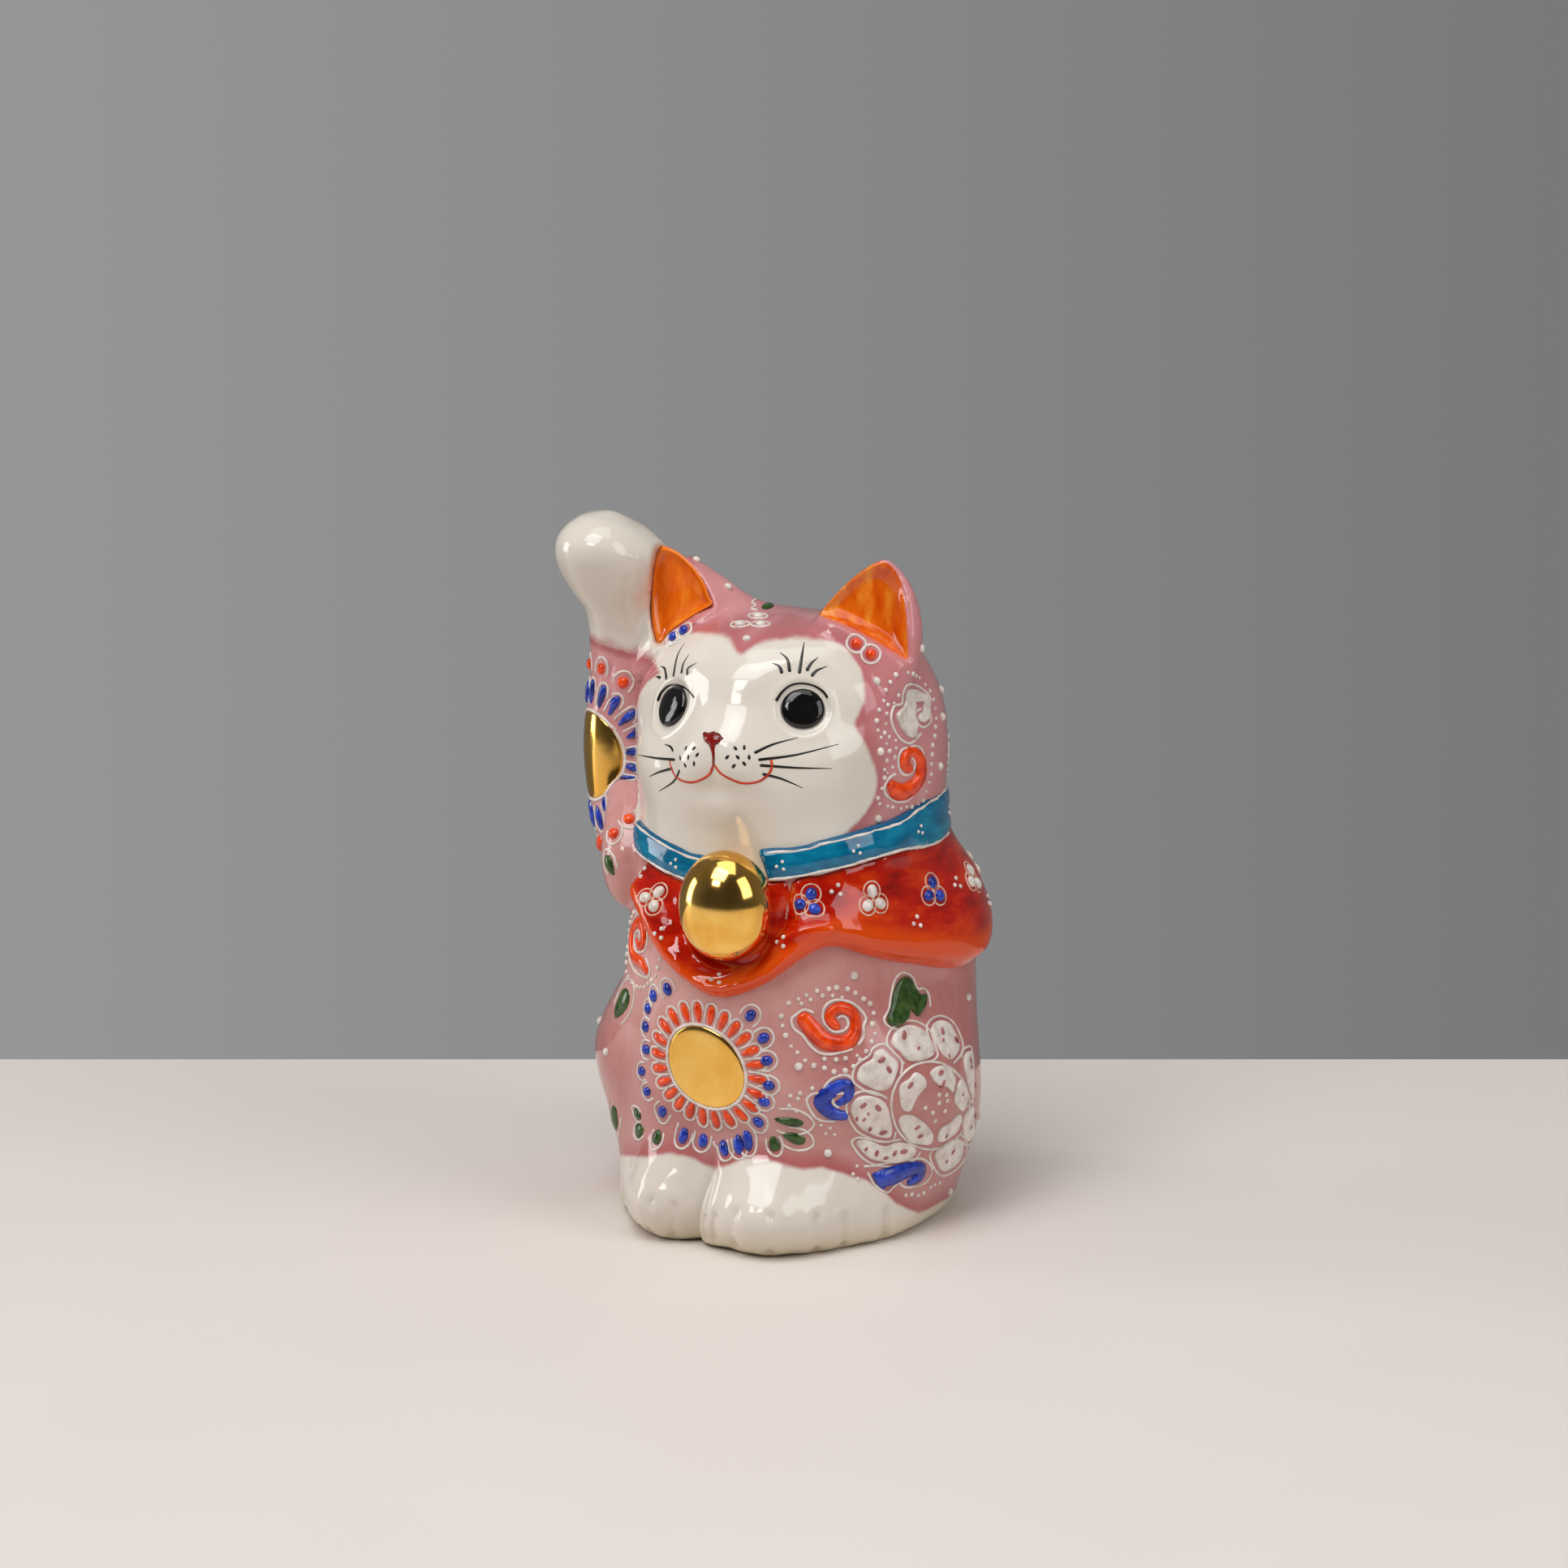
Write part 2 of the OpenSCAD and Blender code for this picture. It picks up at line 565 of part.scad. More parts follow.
// A round bead: a cap of a sphere
module bead(r, h = bead_h) {
    ball = (r * r + h * h) / (2 * h);
    intersection() {
        translate([0, 0, h - ball]) sphere(r = ball, $fn = 96);
        cylinder(r = 2 * r, h = 2 * h, $fn = 32);
    }
}

// A broad low dome
module dome(r, h) {
    rotate_extrude($fn = 64) polygon([[0, 0], [r, 0], [r * 0.92, h * 0.55], [r * 0.65, h * 0.88], [0, h]]);
}

// A drop-shaped petal along +Y, its foot at the origin
module petal(length, r, h = bead_h) {
    rotate([-90, 0, 0]) intersection() {
        rotate_extrude($fn = 48) polygon([[0, 0], [r * 0.75, length * 0.35], [r, length * 0.75], [0, length]]);
        translate([-2 * r, -h, 0]) cube([4 * r, h, length]);
    }
}

module eye(side) {
    az = side * eye_az;
    z = eye_z + tan(face_lean) * face_front * sin(az);
    color(black) carved() difference() {
        on(az, z, eye_proud) cylinder(r1 = eye_r, r2 = eye_r * 0.7, h = 2 * eye_proud, $fn = 40);
        head_solid();
    }
}
module left_eye() { eye(1); }
module right_eye() { eye(-1); }

module nose() { color(vermilion) on(0, nose_z) bead(nose_r); }

module belly_sun() {
    color(gold) carved() difference() {
        intersection() {
            torso_solid(gilding_t);
            on(sun_az, sun_z, past) cylinder(r = sun_r, h = 2 * past + 2, $fn = 48);
        }
        torso_solid();
    }
}

// Spots at a distance round a centre on the skin: each is [azimuth, height, turn from up the skin]
function spots_round(az, z, r, count, first = 0) = [for (i = [0 : count - 1])
    let (q = first + 360 * i / count) [az + r * sin(q) / skin_r(az, z) * 180 / PI, z + r * cos(q), q]];

petal_l = 4.2;
petal_gap = 1.4;
module belly_petals() {
    color(vermilion) for (s = spots_round(sun_az, sun_z, sun_r + petal_gap, sun_petals))
        on(s[0], s[1]) rotate(-s[2]) petal(petal_l, bead_r * 0.75);
}
module belly_beads() {
    ring = sun_r + petal_gap + petal_l + 3.2;
    color(cobalt) for (s = spots_round(sun_az, sun_z, ring, sun_beads)) on(s[0], s[1]) bead(bead_r);
}

// The foreleg's own sun: the outer front of the limb
arm_sun_az = -22;
function arm_t(z) = let (last = len(arm_line) - 1,
    k = max([for (i = [0 : last - 1]) arm_line[i][0][2] <= z ? i : 0]),
    low = arm_line[k][0][2], high = arm_line[k + 1][0][2])
    (k + (z - low) / (high - low)) / last;
function on_arm(az, z, grow = 0) = let (t = arm_t(z), o = at_line(arm_line, t, 0),
    a = at_line(arm_line, t, 1) + grow, b = at_line(arm_line, t, 2) + grow)
    [o[0] + a * sin(az), o[1] - b * cos(az), z];
module beside_arm(az, z) {
    p = on_arm(az, z, -key);
    translate(p) rotate([90, 0, az]) children();
}
module foreleg_sun() {
    color(gold) carved() difference() {
        intersection() {
            arm_solid(gilding_t);
            beside_arm(arm_sun_az, arm_sun_z) translate([0, 0, -2 * past]) cylinder(r = arm_sun_r, h = 4 * past);
        }
        arm_solid();
        head_solid();
    }
}
function arm_spots(r, count, first, last) = [for (i = [0 : count - 1])
    let (q = mix(first, last, i / (count - 1))) [arm_sun_az + r * sin(q) / (arm_d / 2) * 180 / PI,
        arm_sun_z + r * cos(q), q]];
arm_petals = 6;
module foreleg_petals() {
    ring = arm_sun_r + petal_gap;
    color(cobalt) for (half = [0, 180], s = arm_spots(ring, arm_petals, half - 52, half + 40))
        beside_arm(s[0], s[1]) rotate(-s[2]) petal(petal_l, bead_r * 0.8);
}
module foreleg_beads() {
    ring = arm_sun_r + petal_gap + petal_l + 1.8;
    color(vermilion) for (half = [0, 180], s = arm_spots(ring, 4, half - 32, half + 24))
        beside_arm(s[0], s[1]) bead(bead_r);
}

// Three-bead flowers on the bib: azimuth and height, standing on its outer face
module flower_on_bib(az, z, r) {
    for (s = spots_round(az, z, r * 1.35, 3, 0)) let (n = skin_normal(s[0], s[1]))
        translate(n * bib_off(s[0], s[1])) on(s[0], s[1]) bead(r);
}
blue_flowers = [[30.5, 79], [85, 77], [150, 78], [-150, 80]];
white_flowers = [[-22.5, 77.5], [54.5, 78.5], [110, 76], [130, 77], [180, 79]];
module bib_blue_flowers() {
    color(cobalt) for (f = blue_flowers) flower_on_bib(f[0], f[1], bead_r);
}
module bib_white_flowers() {
    color(white) for (f = white_flowers) flower_on_bib(f[0], f[1], bead_r);
}

// Peony: a ring of broad petals round a heart of smaller ones
peony_petals = 8;
module peony() {
    color(white) {
        for (s = spots_round(peony_az, peony_z, peony_r, peony_petals))
            on(s[0], s[1]) dome(peony_r * 0.34, bead_h * 0.7);
        for (s = spots_round(peony_az, peony_z, peony_r * 0.38, 4, 30))
            on(s[0], s[1]) dome(peony_r * 0.2, bead_h * 0.7);
    }
}

// Leaves: azimuth, height and turn from up the skin
leaf_places = [[-32, 27, -120], [-28, 23, -150], [-23, 21, 175], [22, 24, 165], [27, 26, 140], [30, 30, 115],
    [67, 53, -20], [72, 56, 20], [-52, 22, -150], [-44, 50, -60], [-150, 40, 60], [-155, 34, 120],
    [150, 62, -30], [156, 58, 40]];
leaf_l = 5.6;
module green_leaves() {
    color(leaf_green) for (f = leaf_places) on(f[0], f[1]) rotate(-f[2]) petal(leaf_l, bead_r, bead_h * 0.8);
}

// A scroll: most of a ring of enamel with a bead in the middle
module scroll(turn) {
    r = dot_r * 0.9;
    ring = r * 3;
    rotate(turn) intersection() {
        rotate_extrude(angle = 285, $fn = 64) translate([ring, 0]) circle(r = r, $fn = 32);
        translate([-2 * ring, -2 * ring, 0]) cube([4 * ring, 4 * ring, 2 * r]);
    }
    bead(r);
}
red_places = [[38, 52, 200], [-35, 63, 40], [76, 105, 120], [-140, 112, 60], [170, 108, 200], [-120, 32, 90]];
blue_places = [[40, 36, 60], [63, 15, 200], [-140, 20, 20], [125, 104, 250], [140, 20, 160]];
module red_scrolls() { color(vermilion) for (p = red_places) on(p[0], p[1]) scroll(p[2]); }
module blue_scrolls() { color(cobalt) for (p = blue_places) on(p[0], p[1]) scroll(p[2]); }

// Larger white dots scattered over torso and head: azimuth and height
dot_places = [[48, 60], [28, 43], [38, 22], [104, 50], [109, 22], [-50, 36], [-70, 40], [-112, 46], [180, 52],
    [156, 40], [-162, 26], [44, 124], [60, 97], [98, 108], [118, 118], [-118, 112], [160, 122], [-160, 98],
    [180, 126], [95, 124], [-100, 104]];
module white_dots() { color(white) for (d = dot_places) on(d[0], d[1]) bead(dot_r); }

torso_casting();
base_plate();
head_casting();
left_ear();
right_ear();
raised_foreleg();
tail();
bib();
collar();
bell();
left_eye();
right_eye();
nose();
belly_sun();
belly_petals();
belly_beads();
foreleg_sun();
foreleg_petals();
foreleg_beads();
bib_blue_flowers();
bib_white_flowers();
peony();
green_leaves();
red_scrolls();
blue_scrolls();
white_dots();
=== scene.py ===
"""A beckoning cat of glazed porcelain with raised enamel and gilding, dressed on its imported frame.

Sizes of the cat are in millimetres and angles in degrees; the view, the table and the lamps are in metres.
Names that end in SEEN hold places in the view, as x and y of its 1932 by 1932 frame.
"""
from collections import namedtuple
from math import copysign, cos, radians, sin
from random import Random

import bmesh
import bpy
import numpy as np
from mathutils import Matrix, Vector
from mathutils.bvhtree import BVHTree


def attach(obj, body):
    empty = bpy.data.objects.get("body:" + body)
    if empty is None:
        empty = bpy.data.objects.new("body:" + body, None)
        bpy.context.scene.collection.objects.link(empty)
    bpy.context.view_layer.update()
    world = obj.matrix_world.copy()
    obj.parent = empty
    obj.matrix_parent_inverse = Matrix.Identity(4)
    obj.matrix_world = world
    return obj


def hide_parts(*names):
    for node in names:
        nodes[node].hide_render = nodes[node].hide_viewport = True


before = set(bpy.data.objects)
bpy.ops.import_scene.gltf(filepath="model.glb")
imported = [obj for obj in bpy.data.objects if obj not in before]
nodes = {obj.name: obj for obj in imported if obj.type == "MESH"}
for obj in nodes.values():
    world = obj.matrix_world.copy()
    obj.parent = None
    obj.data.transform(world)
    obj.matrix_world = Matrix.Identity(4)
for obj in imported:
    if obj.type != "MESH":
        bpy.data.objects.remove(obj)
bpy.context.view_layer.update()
MM = 0.001


# View: set up first, because painted lines are placed through it

VIEW_AZ, VIEW_EL, VIEW_FAR, VIEW_AT = radians(26), radians(12.5), 1.1, Vector((0, 0, 0.097))
LENS, SENSOR, SHIFT, FRAME = 113, 36, -0.0031, 1932
# Where the cat's middle shows, and how many pixels towards it a point just off the outline is looked for
CAT_MIDDLE_SEEN, OUTLINE_REACH = Vector((966, 1060)), 40
toward = Vector((sin(VIEW_AZ) * cos(VIEW_EL), -cos(VIEW_AZ) * cos(VIEW_EL), sin(VIEW_EL)))
rightward = Vector((cos(VIEW_AZ), sin(VIEW_AZ), 0))
upward = toward.cross(rightward)
eye = bpy.data.cameras.new("view")
eye.lens, eye.sensor_width, eye.shift_x, eye.clip_start = LENS, SENSOR, SHIFT, 0.01
camera = bpy.data.objects.new("view", eye)
camera.location = VIEW_AT + toward * VIEW_FAR
camera.rotation_euler = toward.to_track_quat("Z", "Y").to_euler()
bpy.context.scene.collection.objects.link(camera)
bpy.context.scene.camera = camera


# Finishes

def paint(code):
    """A colour written as sRGB hex, as the shader's linear value."""
    parts = [int(code[i:i + 2], 16) / 255 for i in (1, 3, 5)]
    return tuple(c / 12.92 if c <= 0.04045 else ((c + 0.055) / 1.055) ** 2.4 for c in parts) + (1.0,)


def add(tree, kind, stops=(), links=(), **settings):
    """One node with its settings, its ramp's stops, and its inputs as values or links."""
    node = tree.nodes.new(kind)
    for name, value in settings.items():
        setattr(node, name, value)
    for i, (place, code) in enumerate(stops):
        element = node.color_ramp.elements[i] if i < 2 else node.color_ramp.elements.new(place)
        element.position = place
        element.color = paint(code)
    for socket, value in dict(links).items():
        if isinstance(value, bpy.types.NodeSocket):
            tree.links.new(value, node.inputs[socket])
        else:
            node.inputs[socket].default_value = value
    return node


def finish(name, **sockets):
    """A material whose shader takes plain numbers on its own sockets."""
    material = bpy.data.materials.new(name)
    material.use_nodes = True
    shader = material.node_tree.nodes["Principled BSDF"]
    for socket, value in sockets.items():
        shader.inputs[socket.replace("_", " ")].default_value = value
    return material, material.node_tree, shader


def per_mm(size):
    """Scale of a pattern whose features are this many millimetres across."""
    return 1 / (size * MM)


def enamel(name, thin, body, deep, grain=2.2, polish=0.16):
    """Overglaze enamel squeezed on by hand: glass paste, glossy, its colour deeper where it lies thick."""
    material, tree, shader = finish(name, Roughness=polish, IOR=1.52)
    place = add(tree, "ShaderNodeTexCoord").outputs["Object"]
    cloud = add(tree, "ShaderNodeTexNoise", links={"Vector": place, "Scale": per_mm(grain), "Detail": 3.0})
    tint = add(tree, "ShaderNodeValToRGB", stops=((0.32, deep), (0.68, thin), (0.5, body)),
               links={"Fac": cloud.outputs["Fac"]})
    tree.links.new(tint.outputs["Color"], shader.inputs["Base Color"])
    # Pinholes, drawn coarser than the real ones so that they show
    pits = add(tree, "ShaderNodeTexNoise", links={"Vector": place, "Scale": per_mm(0.9), "Detail": 2.0})
    bump = add(tree, "ShaderNodeBump",
               links={"Height": pits.outputs["Fac"], "Strength": 0.25, "Distance": 0.12 * MM})
    tree.links.new(bump.outputs["Normal"], shader.inputs["Normal"])
    return material


white_enamel = enamel("white_overglaze_enamel", "#EEE6DE", "#E3D9D0", "#CFC1B8")
slip_enamel = enamel("pale_slip_trail", "#EBC5B0", "#DFAF98", "#C98E76")
red_enamel = enamel("coral_red_overglaze_enamel", "#FA5A14", "#F24606", "#D23402")
blue_enamel = enamel("cobalt_blue_overglaze_enamel", "#3450C8", "#2039A6", "#142676")
green_enamel = enamel("leaf_green_overglaze_enamel", "#4A6430", "#33501F", "#1E3512")
rouge_enamel = enamel("iron_red_underline", "#DA4A20", "#CB3A18", "#A82A10")
nose_enamel = enamel("dark_red_overglaze_enamel", "#8E1A12", "#7A0F0C", "#5E0A08")
rose_enamel = enamel("rose_overglaze_enamel", "#B97874", "#A4605E", "#8C4A4A")
black_enamel = enamel("black_overglaze_enamel", "#1E1C1A", "#121110", "#0A0908")
eye_enamel = enamel("black_eye_enamel", "#161412", "#0E0D0C", "#080707", polish=0.05)


def pink_glaze():
    """Clear-glazed porcelain under a pink wash: bare ivory on face and paws, orange inside the ears,
    the wash brushed unevenly and pooled darker along its borders; painted shade darkens its lower part,
    and the foot is made darker and yellower towards the floor."""
    material, tree, shader = finish("glazed_porcelain_with_pink_wash", Roughness=0.09, IOR=1.52)
    place = add(tree, "ShaderNodeTexCoord").outputs["Object"]
    patches = add(tree, "ShaderNodeTexNoise", links={"Vector": place, "Scale": per_mm(30), "Detail": 3.0})
    ragged = add(tree, "ShaderNodeTexNoise", links={"Vector": place, "Scale": per_mm(5), "Detail": 4.0})
    sweep = add(tree, "ShaderNodeMapping", links={"Vector": place, "Scale": (1.0, 1.0, 0.3)})
    hairs = add(tree, "ShaderNodeTexNoise",
                links={"Vector": sweep.outputs["Vector"], "Scale": per_mm(3.2), "Detail": 5.0})
    wash = add(tree, "ShaderNodeAttribute", attribute_name="wash").outputs["Fac"]
    ear = add(tree, "ShaderNodeAttribute", attribute_name="ear").outputs["Fac"]
    foot = add(tree, "ShaderNodeAttribute", attribute_name="foot").outputs["Fac"]

    bare = add(tree, "ShaderNodeValToRGB", stops=((0.35, "#DBD2C5"), (0.65, "#E6DED2")),
               links={"Fac": patches.outputs["Fac"]})
    # The bare ivory is made darker and yellower towards the floor, on the outside of the foot
    darker_yellower_foot = add(tree, "ShaderNodeMix", data_type="RGBA",
                  links={"Factor": foot, "A": bare.outputs["Color"], "B": paint("#D2C29F")})
    brushed = add(tree, "ShaderNodeMix", data_type="FLOAT",
                  links={"Factor": 0.15, "A": patches.outputs["Fac"], "B": hairs.outputs["Fac"]})
    pink = add(tree, "ShaderNodeValToRGB",
               stops=((0.36, "#BC7874"), (0.66, "#D9A6A0"), (0.5, "#CC8F8A")),
               links={"Fac": brushed.outputs["Result"]})
    height = add(tree, "ShaderNodeSeparateXYZ", links={"Vector": place}).outputs["Z"]
    upper = add(tree, "ShaderNodeMapRange", interpolation_type="SMOOTHSTEP",
                links={"Value": height, "From Min": 80 * MM, "From Max": 110 * MM,
                       "To Min": 0.0, "To Max": 0.5})
    rosy = add(tree, "ShaderNodeMix", data_type="RGBA",
               links={"Factor": upper.outputs["Result"], "A": pink.outputs["Color"], "B": paint("#D2868F")})
    # Painted shade: the pink is mixed towards a darker dusky rose lower down, most below 12 mm, none above 48
    # mm
    lower = add(tree, "ShaderNodeMapRange", interpolation_type="SMOOTHSTEP",
                links={"Value": height, "From Min": 12 * MM, "From Max": 48 * MM,
                       "To Min": 0.55, "To Max": 0.0})
    painted_shade_low = add(tree, "ShaderNodeMix", data_type="RGBA",
                links={"Factor": lower.outputs["Result"], "A": rosy.outputs["Result"], "B": paint("#B06A68")})
    pooled = add(tree, "ShaderNodeMapRange", interpolation_type="SMOOTHSTEP",
                 links={"Value": wash, "From Min": 0.2, "From Max": 5.0, "To Min": 1.3, "To Max": 0.0})
    patchy = add(tree, "ShaderNodeMath", operation="MULTIPLY",
                 links={0: pooled.outputs["Result"], 1: patches.outputs["Fac"]})
    edged = add(tree, "ShaderNodeMix", data_type="RGBA",
                links={"Factor": patchy.outputs["Value"], "A": painted_shade_low.outputs["Result"],
                       "B": paint("#B0585C")})
    wander = add(tree, "ShaderNodeMath", operation="MULTIPLY_ADD",
                 links={0: ragged.outputs["Fac"], 1: 1.6, 2: wash})
    laid = add(tree, "ShaderNodeMapRange", interpolation_type="SMOOTHSTEP",
               links={"Value": wander.outputs["Value"], "From Min": 0.2, "From Max": 1.5})
    coat = add(tree, "ShaderNodeMix", data_type="RGBA",
               links={"Factor": laid.outputs["Result"], "A": darker_yellower_foot.outputs["Result"],
                      "B": edged.outputs["Result"]})
    orange = add(tree, "ShaderNodeValToRGB",
                 stops=((0.34, "#CC4600"), (0.72, "#F29A30"), (0.52, "#E26606")),
                 links={"Fac": hairs.outputs["Fac"]})
    filled = add(tree, "ShaderNodeMapRange", interpolation_type="SMOOTHSTEP",
                 links={"Value": ear, "From Min": -0.25, "From Max": 0.35})
    whole = add(tree, "ShaderNodeMix", data_type="RGBA",
                links={"Factor": filled.outputs["Result"], "A": coat.outputs["Result"],
                       "B": orange.outputs["Color"]})
    tree.links.new(whole.outputs["Result"], shader.inputs["Base Color"])
    ripple = add(tree, "ShaderNodeTexNoise", links={"Vector": place, "Scale": per_mm(11), "Detail": 1.0})
    bump = add(tree, "ShaderNodeBump",
               links={"Height": ripple.outputs["Fac"], "Strength": 0.5, "Distance": 0.5 * MM})
    tree.links.new(bump.outputs["Normal"], shader.inputs["Normal"])
    return material


def brushed_glaze(name, deep, body, thin, edge_tint, sweep):
    """Coloured lead glaze laid on with a broad brush: streaky, deep where it pools, thin at its edges."""
    material, tree, shader = finish(name, Roughness=0.07, IOR=1.54)
    place = add(tree, "ShaderNodeTexCoord").outputs["Object"]
    drawn = add(tree, "ShaderNodeMapping", links={"Vector": place, "Scale": sweep})
    hairs = add(tree, "ShaderNodeTexNoise",
                links={"Vector": drawn.outputs["Vector"], "Scale": per_mm(4), "Detail": 5.0,
                       "Roughness": 0.6})
    tint = add(tree, "ShaderNodeValToRGB", stops=((0.3, deep), (0.74, thin), (0.5, body)),
               links={"Fac": hairs.outputs["Fac"]})
    edge = add(tree, "ShaderNodeAttribute", attribute_name="edge").outputs["Fac"]
    rim = add(tree, "ShaderNodeMix", data_type="RGBA",
              links={"Factor": edge, "A": tint.outputs["Color"], "B": paint(edge_tint)})
    tree.links.new(rim.outputs["Result"], shader.inputs["Base Color"])
    ripple = add(tree, "ShaderNodeTexNoise", links={"Vector": place, "Scale": per_mm(6), "Detail": 1.0})
    bump = add(tree, "ShaderNodeBump",
               links={"Height": ripple.outputs["Fac"], "Strength": 0.4, "Distance": 0.4 * MM})
    tree.links.new(bump.outputs["Normal"], shader.inputs["Normal"])
    return material


def gold_lustre():
    """Fired gold lustre: a mirror film a little uneven from the brush, with a few pinholes."""
    material, tree, shader = finish("gold_lustre", Metallic=1.0)
    place = add(tree, "ShaderNodeTexCoord").outputs["Object"]
    film = add(tree, "ShaderNodeTexNoise", links={"Vector": place, "Scale": per_mm(6), "Detail": 4.0})
    tone = add(tree, "ShaderNodeValToRGB", stops=((0.3, "#F4B44C"), (0.7, "#FFD172")),
               links={"Fac": film.outputs["Fac"]})
    tree.links.new(tone.outputs["Color"], shader.inputs["Base Color"])
    dull = add(tree, "ShaderNodeMapRange",
               links={"Value": film.outputs["Fac"], "To Min": 0.05, "To Max": 0.16})
    tree.links.new(dull.outputs["Result"], shader.inputs["Roughness"])
    bump = add(tree, "ShaderNodeBump",
               links={"Height": film.outputs["Fac"], "Strength": 0.06, "Distance": 0.2 * MM})
    tree.links.new(bump.outputs["Normal"], shader.inputs["Normal"])
    return material


def bisque():
    """Unglazed porcelain on the foot: dry, matt and finely sandy."""
    material, tree, shader = finish("bisque_porcelain", Roughness=0.8, IOR=1.5)
    place = add(tree, "ShaderNodeTexCoord").outputs["Object"]
    # The grain is drawn coarser than the real one so that it shows
    sand = add(tree, "ShaderNodeTexNoise", links={"Vector": place, "Scale": per_mm(0.8), "Detail": 3.0})
    tone = add(tree, "ShaderNodeValToRGB", stops=((0.3, "#CDBFA6"), (0.7, "#E2D9C6")),
               links={"Fac": sand.outputs["Fac"]})
    tree.links.new(tone.outputs["Color"], shader.inputs["Base Color"])
    bump = add(tree, "ShaderNodeBump",
               links={"Height": sand.outputs["Fac"], "Strength": 0.4, "Distance": 0.15 * MM})
    tree.links.new(bump.outputs["Normal"], shader.inputs["Normal"])
    return material


glaze = pink_glaze()
red_glaze = brushed_glaze("vermilion_lead_glaze", "#8A0800", "#BC1800", "#E04608", "#E64C02",
                          sweep=(0.35, 0.35, 1.0))
orange_glaze = brushed_glaze("orange_lead_glaze", "#DA4E00", "#F07008", "#FCA638", "#FA8018",
                             sweep=(1.0, 1.0, 0.3))
blue_glaze = brushed_glaze("turquoise_lead_glaze", "#004A70", "#006C92", "#1694B4", "#045C84",
                           sweep=(0.4, 0.4, 1.0))
gilt = gold_lustre()
bisque_clay = bisque()


# Skins and places on them

Seat = namedtuple("Seat", "skin guess at x y", defaults=(None, None, None))


def skin_of(mesh, keep=None):
    """A mesh in millimetres to lay enamel on, or only the faces whose middle a test keeps."""
    corners = [v.co / MM for v in mesh.vertices]
    faces = [p.vertices[:] for p in mesh.polygons if keep is None or keep(p.center / MM)]
    return BVHTree.FromPolygons(corners, faces)


def seat_near(skin, point):
    """The place on a skin nearest to a point, with axes to the cat's left and up along the skin."""
    at, n, *_ = skin.find_nearest(Vector(point))
    x = Vector((-n.y, n.x, 0)).normalized()
    y = n.cross(x)
    return Seat(skin, lambda u, v: at + x * u + y * v, at, x, y)


def seat(skin, az, z, r):
    """The place at an azimuth from the cat's front and a height, looked for at a radius."""
    return seat_near(skin, (r * sin(radians(az)), -r * cos(radians(az)), z))


def seat_round(skin, axis, az, z, r):
    """A place on a limb, its u wrapped round the limb's axis."""
    def guess(u, v):
        a = radians(az) + u / r
        return Vector((axis[0] + r * sin(a), axis[1] - r * cos(a), z + v))
    return Seat(skin, guess)


def drape(place, u, v):
    """The point of the skin under u, v of a seat, and the skin's normal there."""
    at, n, *_ = place.skin.find_nearest(place.guess(u, v))
    return at, n


def sight(x, y):
    """The ray from the view through x, y of the 1932 by 1932 frame."""
    across, up = x / FRAME - 0.5 + SHIFT, 0.5 - y / FRAME
    return rightward * across * SENSOR / LENS + upward * up * SENSOR / LENS - toward


def seen(skin, x, y):
    """The point of a skin that the view shows at x, y, or just inside its outline."""
    inward = (CAT_MIDDLE_SEEN - Vector((x, y))).normalized()
    for step in range(OUTLINE_REACH):
        at, *_ = skin.ray_cast(camera.location / MM, sight(x + step * inward.x, y + step * inward.y))
        if at:
            return at
    raise ValueError(f"nothing of the skin at {x}, {y}")


def in_view(co):
    """Where the view shows points in millimetres, as x and y of its frame."""
    off = co - np.array(camera.location) / MM
    scale = -FRAME * LENS / SENSOR / (off @ np.array(toward))
    return (FRAME * (0.5 - SHIFT) + off @ np.array(rightward) * scale,
            FRAME * 0.5 - off @ np.array(upward) * scale)


def seat_seen(skin, x, y):
    """The place on a skin that the view shows at x, y."""
    return seat_near(skin, seen(skin, x, y))


def through(points, steps=6, closed=False):
    """A smooth line through points of any dimension."""
    p = [np.array(q, float) for q in points]
    n = len(p)
    out = []
    for i in range(n if closed else n - 1):
        a, b, c, d = (p[(i + k) % n] if closed else p[min(max(i + k, 0), n - 1)] for k in (-1, 0, 1, 2))
        for s in np.arange(steps) / steps:
            out.append(0.5 * (2 * b + (c - a) * s + (2 * a - 5 * b + 4 * c - d) * s ** 2
                              + (3 * b - a - 3 * c + d) * s ** 3))
    return out + ([out[0]] if closed else [p[-1]])


# Making pieces

def show(name, mesh, material, slot, *replaced):
    """A finished piece on the root body, standing for the solids it replaces."""
    piece = bpy.data.objects.new(name, mesh)
    bpy.context.scene.collection.objects.link(piece)
    mesh.materials.clear()
    mesh.materials.append(material)
    mesh.polygons.foreach_set("use_smooth", [True] * len(mesh.polygons))
    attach(piece, "root")
    if replaced:
        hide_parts(*replaced)
    return piece


def solid_copy(*names):
    """The named solids' own meshes as one, their loose triangles merged."""
    bm = bmesh.new()
    for name in names:
        bm.from_mesh(nodes[name].data)
    bmesh.ops.remove_doubles(bm, verts=bm.verts, dist=0.002 * MM)
    return bm


def mesh_of(bm, name):
    """A finished bmesh as a mesh."""
    mesh = bpy.data.meshes.new(name)
    bm.to_mesh(mesh)
    bm.free()
    return mesh


def bridge(bm, rings):
    """Faces from ring to ring of points; a ring of one point closes an end."""
    for a, b in zip(rings[:-1], rings[1:]):
        for i in range(max(len(a), len(b))):
            corners = (a[i % len(a)], a[(i + 1) % len(a)], b[(i + 1) % len(b)], b[i % len(b)])
            bm.faces.new(list(dict.fromkeys(corners)))


